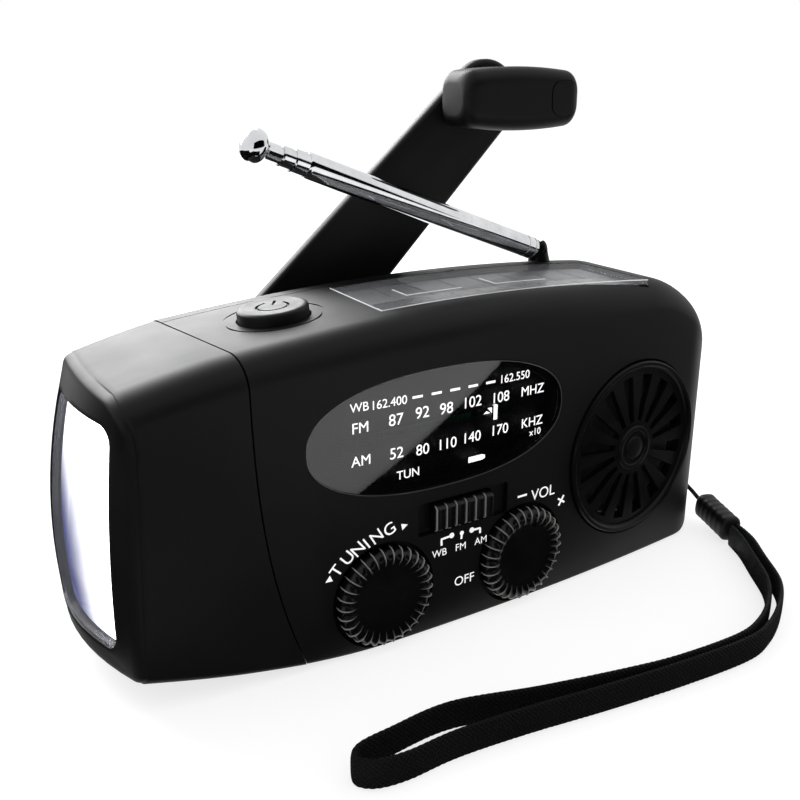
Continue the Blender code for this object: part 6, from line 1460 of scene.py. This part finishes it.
@dataclass
class RotaryKnob:
    """A fluted knob with a sunk satin face, and optionally a pointer notch."""

    name: str
    node: str
    x: float
    body: Body
    notch: float | None = None
    tuning_x = -0.0189
    volume_x = 0.0123
    z = 0.0107
    radius: float = 0.0097
    ribs: int = 30
    rib_steps: int = 12
    ridge_lift: float = 0.00020
    valley_depth: float = 0.00032
    face_radius: float = 0.0064
    highlight_share: float = 0.7

    def build(self) -> None:
        """Build the knob from rings that each follow the ribs."""
        place = face_frame(self.x, self.z)
        # Radius, height and how strongly the ribs show at each station.
        stations = ((0.00935, -0.0011, 0.4), (0.0095, -0.0008, 1.0), (0.0095, 0.0006, 1.0), (0.0093, 0.0012, 1.0),
                    (0.0088, 0.0017, 1.0), (0.0082, 0.0020, 1.0), (0.0076, 0.0020, 0.9), (0.0070, 0.0018, 0.7),
                    (0.0066, 0.00160, 0.2), (0.0064, 0.00155, 0.0), (0.0056, 0.00150, 0.0), (0.0030, 0.00155, 0.0),
                    (0.0010, 0.00156, 0.0))
        count = self.ribs * self.rib_steps
        rings, highlight_mask = [], []
        for radius, height, strength in stations:
            ring = []
            for i in range(count):
                turn = tau * i / count
                phase = (i % self.rib_steps) / self.rib_steps
                ridge = max(0.0, 1 - min(phase, 1 - phase) * self.rib_steps) if phase else 1.0
                valley = sin(pi * phase) * (1 - 0.35 * phase)
                lift = strength * (self.ridge_lift * ridge - self.valley_depth * valley)
                ring.append(place @ Vector(((radius + lift * 0.8) * cos(turn), (radius + lift * 0.8) * sin(turn),
                                            height + lift * 0.8)))
                # Painted highlight on the rib crests, fading towards the face and left off where the recess hides the
                # ribs.
                outward = min(1.0, max(0.2, (radius - self.face_radius) / 0.0026))
                hidden = radius > 0.00931 and height < 0
                highlight_mask.append(outward * self.highlight_share * ridge * strength * (0.0 if hidden else 1.0))
            rings.append(ring)
        item = loft(self.name, rings)
        paint_highlight_mask(item, highlight_mask)
        carve(item, rod("stem", 0.0025, -0.0047, 0.0004, place), "UNION")
        if self.notch is not None:
            turned_place = place @ Matrix.Rotation(self.notch, 4, "Z")
            carve(item, prism("notch", [(0.0058, -0.00045), (0.0070, -0.00045), (0.0070, 0.00045), (0.0058, 0.00045)],
                              0.0012, 0.0030, turned_place))
        smooth(item, radians(38))
        dress(item, KNOB_BLACK, self.body, "knob_black", self.node)


@dataclass
class BandSlider:
    """The ribbed band slider in its slot."""

    ribs: int = 6
    offset: float = -0.0006

    def build(self) -> None:
        """Build the slider as rounded ribs along its width."""
        place = face_frame(-0.0017, 0.0235)
        width, height, pitch = 0.0131, 0.0052, 0.0131 / 6
        rings, highlight_mask = [], []
        columns = 132
        for i in range(columns + 1):
            a = -width / 2 + width * i / columns
            phase = ((a + width / 2) / pitch) % 1.0
            crown = sqrt(max(0.0, 1 - ((phase - 0.5) / 0.5) ** 2)) * 0.0006
            top = 0.0010 + crown
            edge = 0.0002
            ring = [(-height / 2, -0.0009), (-height / 2, top - 0.0008 - edge), (-height / 2 + 0.0002, top - 0.0004),
                    (-height / 2 + 0.0006, top), (height / 2 - 0.0006, top), (height / 2 - 0.0002, top - 0.0004),
                    (height / 2, top - 0.0008 - edge), (height / 2, -0.0009)]
            rings.append([place @ Vector((a + self.offset, b, c)) for b, c in ring])
            # Painted highlight along the top of each rib, near its left side.
            highlight_mask += [0.35 * (0.01 < phase < 0.10) * (2 <= k <= 5) for k in range(8)]
        item = loft("band_key", rings)
        paint_highlight_mask(item, highlight_mask)
        carve(item, box("band_stem", (-0.0014 + self.offset, -0.0010, -0.0045), (0.0014 + self.offset, 0.0010, 0.0002),
                        place), "UNION")
        smooth(item, radians(30))
        dress(item, KNOB_BLACK, Body.BAND, "knob_black", "band_slider")


@dataclass
class PowerButton:
    """The rubber power button with its embossed sign."""

    radius: float = 0.0064
    proud: float = 0.0021

    def build(self) -> None:
        """Build the button and emboss the ring and the bar."""
        place = button_frame()
        profile = [(0, -0.0062), (0.0022, -0.0062), (0.0022, -0.0034), (0.0073, -0.0034), (0.0073, -0.0025),
                   (self.radius, -0.0025), (self.radius, 0.0009)]
        profile += [(self.radius - 0.0009 + 0.0009 * cos(pi / 2 * i / 8),
                     self.proud - 0.0006 + 0.0006 * sin(pi / 2 * i / 8)) for i in range(9)]
        profile += [(self.radius - 0.0013, self.proud - 0.00005), (0.0040, self.proud - 0.00012),
                    (0, self.proud - 0.00015)]
        item = turned("power_key", profile, place, 96)
        sign = place @ Matrix.Rotation(radians(-28), 4, "Z")
        for tool in self.sign(sign):
            carve(item, tool)
        smooth(item, radians(30))
        dress(item, RUBBER, Body.POWER, "rubber", "power_button")

    def sign(self, place: Matrix) -> list[bpy.types.Object]:
        """Make the grooves of the open ring and the bar.

        Args:
            place: The sign's frame on the button.

        Returns:
            The two groove tools.
        """
        rings = []
        for i in range(49):
            turn = radians(125) + radians(290) * i / 48
            away = Vector((cos(turn), sin(turn), 0))
            rings.append([place @ (away * (0.0028 + a) + Vector((0, 0, self.proud + b))) for a, b in
                          ((-0.0004, 0.0004), (-0.00018, -0.00045), (0.00018, -0.00045), (0.0004, 0.0004))])
        bar = [[place @ Vector((a, y, self.proud + b)) for a, b in
                ((-0.0004, 0.0004), (-0.00018, -0.00045), (0.00018, -0.00045), (0.0004, 0.0004))]
               for y in (0.0008, 0.0036)]
        return [loft("sign_ring", rings), loft("sign_bar", bar)]


@dataclass
class SpeakerGrille:
    """The round grille: a rim, sixteen radial slots and a ringed hub."""

    x = 0.0431
    z = 0.0258
    slots: int = 16

    def build(self) -> None:
        """Build the grille disc and cut its slots."""
        place = face_frame(self.x, self.z)
        profile = [(0, -0.0014), (0.0187, -0.0014), (0.0187, 0.0002), (0.0184, 0.0005), (0.0178, 0.0005),
                   (0.0174, 0.0002), (0.0172, -0.0003), (0.0164, -0.00035), (0.0060, 0.0000), (0.0048, 0.0000),
                   (0.0046, 0.0003), (0.0042, 0.0004), (0.0038, 0.0003), (0.0036, 0.0000), (0.0025, 0.0000),
                   (0.0023, 0.0003), (0.0018, 0.0004), (0, 0.00042)]
        disc = turned("grille", profile, place, 192)
        for i in range(self.slots):
            carve(disc, self.slot(place @ Matrix.Rotation(tau * (i + 0.5) / self.slots, 4, "Z")))
        smooth(disc, radians(32))
        dress(disc, GLOSS_BLACK, Body.HOUSING, "gloss_black", "speaker_grille")

    def slot(self, place: Matrix) -> bpy.types.Object:
        """Make one slot's tool, wider at its outer end and chamfered at its mouth."""
        rings = []
        for height, grow in ((-0.0020, 0.0), (-0.0004, 0.0), (0.0008, 0.0004)):
            points = []
            for i in range(9):
                turn = radians(-5.4) + radians(10.8) * i / 8
                points.append((0.0158 + grow * 0.6, turn * (1 + grow * 300)))
            ring = [Vector((r * cos(t), r * sin(t), height)) for r, t in points]
            half = radians(5.0) + grow * 40
            ring += [Vector(((0.0060 - grow * 0.6) * cos(half * s), (0.0060 - grow * 0.6) * sin(half * s), height))
                     for s in (1.0, 0.5, 0.0, -0.5, -1.0)]
            rings.append([place @ point for point in ring])
        return loft("slot", rings)


@dataclass
class SolarPanel:
    """The solar cell strip under its clear cover."""

    left = -0.1043 * LENGTH
    right = 0.3271 * LENGTH
    front = -0.255 * DEPTH
    rear = 0.3 * DEPTH
    cells: int = 10

    def build(self) -> None:
        """Build the cover, the front strip of cells, the grey rear zone and its printed frames."""
        cover = top_slab("solar_glass", self.left, self.right, self.front, self.rear, -0.0010, 0.0)
        soften(cover, 0.2 * MM, 3)
        smooth(cover, radians(20))
        dress(cover, CLEAR, Body.HOUSING, "clear", "solar_cover")
        bpy.data.objects["solar_cells"].data.materials[0] = SOLAR_GREY.material()
        pitch = (self.right - self.left - 0.0036) / self.cells
        strips = []
        for i in range(self.cells):
            start = self.left + 0.0018 + pitch * i
            strips.append(top_slab(f"cell_{i}", start + 0.1 * MM, start + pitch - 0.1 * MM, self.front + 0.0016,
                                   self.front + 0.0090, -0.00118, -0.00108))
        dress(join_all(strips, "cell_strip"), CELL, Body.HOUSING, "cell")
        # Pale glowing lines along the cover's left and front edges: a painted highlight.
        edges = [top_slab(f"edge_{i}", *spot, -0.00012, 0.00002) for i, spot in enumerate((
            (self.left, self.left + 0.00016, self.front, self.rear), (self.left, self.right, self.front,
                                                                     self.front + 0.00016)))]
        dress(join_all(edges, "cover_edges"), COVER_EDGE_HIGHLIGHT, Body.HOUSING, "clear")
        frames = []
        for i, (low_x, high_x) in enumerate(((-0.0035, 0.0085), (0.0165, 0.0285))):
            for j, (ax, ay, bx, by) in enumerate(((low_x, 0.0012, high_x, 0.0012), (low_x, 0.0012, low_x, 0.0070))):
                frames.append(top_slab(f"bracket_{i}{j}", min(ax, bx) - 0.15 * MM, max(ax, bx) + 0.15 * MM,
                                       min(ay, by) - 0.15 * MM, max(ay, by) + 0.15 * MM, -0.00110, -0.00106))
        dress(join_all(frames, "cell_brackets"), INK, Body.HOUSING, "white")


@dataclass
class Antenna:
    """The telescopic antenna: its foot, tube, two sections and ball tip."""

    turn: float = radians(190.65)
    rise: float = radians(19.54)

    def build(self) -> None:
        """Build the turned pieces along the antenna's axis."""
        flat = Vector((cos(self.turn), sin(self.turn), 0))
        along = flat * cos(self.rise) + Vector((0, 0, sin(self.rise)))
        x = 0.2718 * LENGTH
        pivot = Vector((x, 0.0166, top_z(x) - 0.0006 + 0.00265))
        place = axis_frame(pivot, along, flat.cross(Vector((0, 0, 1))))
        tops = [0.0752 - 0.0023 - 0.0083]
        for stub in (0.0029, 0.0025, 0.0029):
            tops.append(tops[-1] + stub)
        self.tube(place, tops[0])
        for index, body in ((1, Body.ANTENNA_MIDDLE_1), (2, Body.ANTENNA_MIDDLE_2)):
            outer = 0.0024 - index * 0.00026
            low = 0.0120 + (index - 1) * 0.0020
            profile = [(0, low), (outer, low), (outer, tops[index] - 0.00015), (outer - 0.00012, tops[index]),
                       (0, tops[index])]
            item = turned(f"antenna_rod_{index}", profile, place, 64)
            smooth(item)
            dress(item, CHROME, body, "chrome", f"antenna_section_{index}")
        self.tip(place, tops[3])
        self.foot(pivot, flat)
        bpy.data.objects["antenna_pin"].data.materials[0] = CHROME.material()

    def tube(self, place: Matrix, top: float) -> None:
        """Build the main tube with its collar grooves and rolled end."""
        radius = 0.0024
        profile = [(0, 0.0019), (0.0008, 0.0019), (0.0008, 0.0026), (0.0016, 0.0026), (radius - 0.0001, 0.00265),
                   (radius, 0.0028)]
        for groove in (0.0036, 0.0058):
            profile += [(radius, groove - 0.00014), (radius - 0.00016, groove - 0.00007),
                        (radius - 0.00016, groove + 0.00007), (radius, groove + 0.00014)]
        profile += [(radius, top - 0.0007), (radius - 0.00006, top - 0.0002), (radius - 0.00018, top),
                    (0.0021, top), (0.0021, top - 0.0010), (0, top - 0.0010)]
        item = turned("antenna_outer", profile, place, 96)
        tongue = rod("tongue", 0.0015, -0.0007, 0.0007, place @ Matrix.Rotation(pi / 2, 4, "Y"), 48)
        carve(item, tongue, "UNION")
        carve(item, box("tongue_neck", (-0.0007, -0.0014, 0.0002), (0.0007, 0.0014, 0.0029), place), "UNION")
        smooth(item)
        dress(item, CHROME, Body.ANTENNA_MAIN, "chrome", "antenna_tube")

    def tip(self, place: Matrix, top: float) -> None:
        """Build the innermost rod and its rounded tip."""
        radius, ball, half = 0.00162, 0.0031, 0.0023
        start = -pi / 2 + atan2(radius, ball)
        profile = [(0, 0.0160), (radius, 0.0160), (radius, top)]
        profile += [(ball * cos(start + (pi / 2 - start) * i / 20),
                     0.0752 + half * sin(start + (pi / 2 - start) * i / 20)) for i in range(1, 20)]
        profile.append((0, 0.0752 + half))
        item = turned("antenna_ball", profile, place, 64)
        smooth(item, radians(40))
        dress(item, CHROME, Body.ANTENNA_END, "chrome", "antenna_tip")

    def foot(self, pivot: Vector, flat: Vector) -> None:
        """Build the forked foot under its domed cheeks."""
        low = GAP - 0.00265
        profile = [(0, low - 0.0060), (0.0017, low - 0.0060), (0.0017, low), (0.0024, low), (0.0024, low + 0.0003),
                   (0.0020, -0.0004), (0.0019, 0)]
        profile += [(0.0019 * cos(pi / 2 * i / 10), 0.0028 * sin(pi / 2 * i / 10)) for i in range(1, 10)]
        profile.append((0, 0.0028))
        item = turned("antenna_base", profile, Matrix.Translation(pivot), 64)
        fork = axis_frame(pivot, (0, 0, 1), flat)
        carve(item, box("fork_slot", (-0.005, -0.0009, -0.0018), (0.005, 0.0009, 0.005), fork))
        smooth(item)
        dress(item, GLOSS_BLACK, Body.ANTENNA_BASE, "gloss_black", "antenna_foot")


@dataclass
class Crank:
    """The folding crank: hub, hinged arm, rivet and grip."""

    angle: float = radians(44.6)
    length: float = 0.6157 * LENGTH
    front: float = 0.0208
    thickness: float = 0.0034
    rivet_radius: float = 0.0018
    rivet_head: float = 0.0040
    rivet_depth: float = 0.0084

    def build(self) -> None:
        """Build the crank's pieces."""
        pivot = Vector((-0.2514 * LENGTH, 0, 0.0350))
        self.base = axis_frame(pivot, (0, -1, 0), (cos(self.angle), 0, sin(self.angle)))
        self.hub(pivot)
        self.arm(pivot)
        self.grip(pivot)
        self.rivet(pivot)
        bpy.data.objects["crank_flip_pin"].data.materials[0] = STEEL.material()

    def rivet(self, pivot: Vector) -> None:
        """Turn the steel rivet, with its domed head, that carries the grip."""
        pin = self.base @ Vector((self.length, 0, 0))
        place = axis_frame((pin.x, self.front, pin.z), (0, 1, 0), (1, 0, 0))
        head = self.thickness + 0.3 * MM
        profile = [(0, -self.rivet_depth), (self.rivet_radius, -self.rivet_depth), (self.rivet_radius, head),
                   (0.0039, head)]
        profile += [(self.rivet_head * cos(pi / 2 * i / 10), head + 0.0001 + 0.0005 * sin(pi / 2 * i / 10))
                    for i in range(10)]
        item = turned("rivet", profile + [(0, head + 0.0006)], place, 48)
        smooth(item, radians(30))
        dress(item, STEEL, Body.CRANK_LEVER, "steel", "grip_rivet")

    def hub(self, pivot: Vector) -> None:
        """Build the hub from the CAD form, with softened edges."""
        item = merged_copy("crank_hub", "hub")
        soften(item, 0.15 * MM, 2, radians(40))
        smooth(item)
        dress(item, SOFT_BLACK, Body.CRANK_BASE, "soft_black", "crank_hub")

    def arm(self, pivot: Vector) -> None:
        """Build the tapered arm: a flat front face inside a rounded edge, over its knuckle."""
        place = self.base.copy()
        place.translation = Vector((pivot.x, self.front, pivot.z))
        tip, root, start = 0.0078, 0.0105, 0.0046
        lean = (root - tip) / (self.length - start)
        rings = []
        for height, inset in ((0.0, 0.0009), (-0.00025, 0.00035), (-0.0008, 0.0), (-0.0026, 0.0), (-0.0031, 0.0003),
                              (-0.0034, 0.0009)):
            outline = [(start + inset, -(root - inset))]
            for i in range(49):
                turn = -pi / 2 + lean + (pi - 2 * lean) * i / 48
                outline.append((self.length + (tip - inset) * cos(turn), (tip - inset) * sin(turn)))
            outline.append((start + inset, root - inset))
            rings.append([place @ Vector((x, y, height)) for x, y in outline])
        item = loft("arm", rings)
        knuckle = self.base.copy()
        knuckle.translation = Vector((pivot.x, self.front + 0.0031, pivot.z))
        barrel = rod("barrel", 0.0031, -0.0055, 0.0055, knuckle @ Matrix.Rotation(pi / 2, 4, "X"), 64)
        carve(item, barrel, "UNION")
        carve(item, box("neck", (0, -0.0054, -0.0001), (0.0056, 0.0054, 0.0030), knuckle), "UNION")
        carve(item, rod("pin_bore", 0.0013, -0.007, 0.007, knuckle @ Matrix.Rotation(pi / 2, 4, "X"), 32))
        grip = place @ Matrix.Translation((self.length, 0, 0))
        carve(item, rod("rivet_bore", 0.0021, -0.005, 0.001, grip, 48))
        smooth(item, radians(35))
        dress(item, SOFT_BLACK, Body.CRANK_LEVER, "soft_black", "crank_arm")

    def grip(self, pivot: Vector) -> None:
        """Build the grip: a D-ended barrel with a pressed outline."""
        pin = self.base @ Vector((self.length, 0, 0))
        place = axis_frame((pin.x, self.front, pin.z), (0, 1, 0), (1, 0, 0))
        rings = []
        stations = [-0.5 + 0.5 * (1 - cos(pi / 2 * i / 8)) * 0.2 for i in range(9)]
        stations += [-0.4 + 0.8 * i / 24 for i in range(1, 24)] + [-s for s in stations[::-1]]
        for along in stations:
            end = max(0.0, (abs(along) - 0.4) / 0.1)
            inset = 0.0022 * (1 - sqrt(max(0.0, 1 - end ** 2)))
            swell = 1 - (2 * along) ** 2
            half = (0.0104 + 0.0020 * swell) / 2 - inset
            front, rear = -0.0116 + inset, -0.0004 - inset * 0.8
            points = section(front, rear, -half, half, [0.0030, 0.0022, 0.0022, 0.0030], 8)
            rings.append([place @ Vector((along * 0.0275 + 0.0018, -z, y)) for y, z in points])
        item = loft("grip", rings)
        carve(item, rod("grip_bore", 0.0021, -0.0087, 0.001, place, 48))
        outline = self.outline_groove(place)
        carve(item, outline)
        smooth(item, radians(35))
        dress(item, SOFT_BLACK, Body.CRANK_HANDLE, "soft_black", "crank_grip")

    def outline_groove(self, place: Matrix) -> bpy.types.Object:
        """Make the tool for the D-shaped line pressed into the grip's front."""
        rings = []
        path = [(x, y) for x, y in rounded(0.0062, 0.0070, 0.0022, 10)]
        for i, (x, y) in enumerate(path):
            ax, ay = path[i - 1]
            bx, by = path[(i + 1) % len(path)]
            run = hypot(bx - ax, by - ay)
            nx, ny = (by - ay) / run, -(bx - ax) / run
            rings.append([place @ Vector((x + 0.0112 + nx * a, y + ny * a, -0.0116 + b)) for a, b in
                          ((-0.00022, -0.0004), (-0.0001, 0.00022), (0.0001, 0.00022), (0.00022, -0.0004))])
        return loft("d_line", rings, closed=True)


@dataclass
class RearFittings:
    """The port cover and the housing screws."""

    def build(self) -> None:
        """Build the cover with its finger lip, and cross-recessed screws."""
        cover = merged_copy("port_cover", "port_lid")
        soften(cover, 0.2 * MM, 2, radians(40))
        smooth(cover)
        dress(cover, RUBBER, Body.PORT_FLAP, "rubber", "port_cover")
        for i, (share_x, share_z) in enumerate(Housing.screws):
            place = rear_frame(share_x * LENGTH, share_z * HEIGHT)
            seat = DEPTH / 2 - 0.0030 + GAP
            profile = [(0, PARTING_Y - 0.0040), (0.0011, PARTING_Y - 0.0040), (0.0011, seat), (0.0020, seat),
                       (0.0022, seat + 0.0003), (0.0019, seat + 0.0008), (0.0012, seat + 0.0011), (0, seat + 0.0012)]
            item = turned(f"screw_{i + 1}", profile, place, 48)
            for turn in (0, pi / 2):
                carve(item, box("cross", (-0.0011, -0.00022, seat + 0.0004), (0.0011, 0.00022, seat + 0.003),
                                place @ Matrix.Rotation(turn + 0.3 * i, 4, "Z")))
            smooth(item)
            dress(item, STEEL, Body.HOUSING, "steel", f"housing_screw_{i + 1}")


def dress_nodes() -> None:
    """Give every CAD node that still shows its full finish, by its material slot."""
    special = {"solar_cells": SOLAR_GREY, "dial_plate": DIAL_BLACK, "dial_pointer": WHITE, "lamp_board": BOARD}
    for item in bpy.data.objects:
        if item.type != "MESH" or item.name not in frame["nodes"]:
            continue
        for slot in item.material_slots:
            base = slot.material.name.split(".")[0] if slot.material else ""
            finish = special.get(item.name) or NODE_FINISHES.get(base)
            if finish is not None:
                slot.material = finish.material()
            else:
                LOG.info("node %s keeps %s", item.name, base)


def main() -> None:
    """Build the camera, the strap, the studio and every piece."""
    PhotoCamera().build()
    WristStrap().build()
    Studio().build()
    dress_nodes()
    for part in (Housing(), LampHead(), Dial(), FacePrint(),
                 RotaryKnob("tuning_dial_knob", "tuning_knob", RotaryKnob.tuning_x, Body.TUNING),
                 RotaryKnob("volume_dial_knob", "volume_knob", RotaryKnob.volume_x, Body.VOLUME, radians(72)),
                 BandSlider(), PowerButton(), SpeakerGrille(), SolarPanel(), Antenna(), Crank(), RearFittings()):
        LOG.info("building %s", type(part).__name__)
        part.build()


if __name__ == "__main__":
    main()
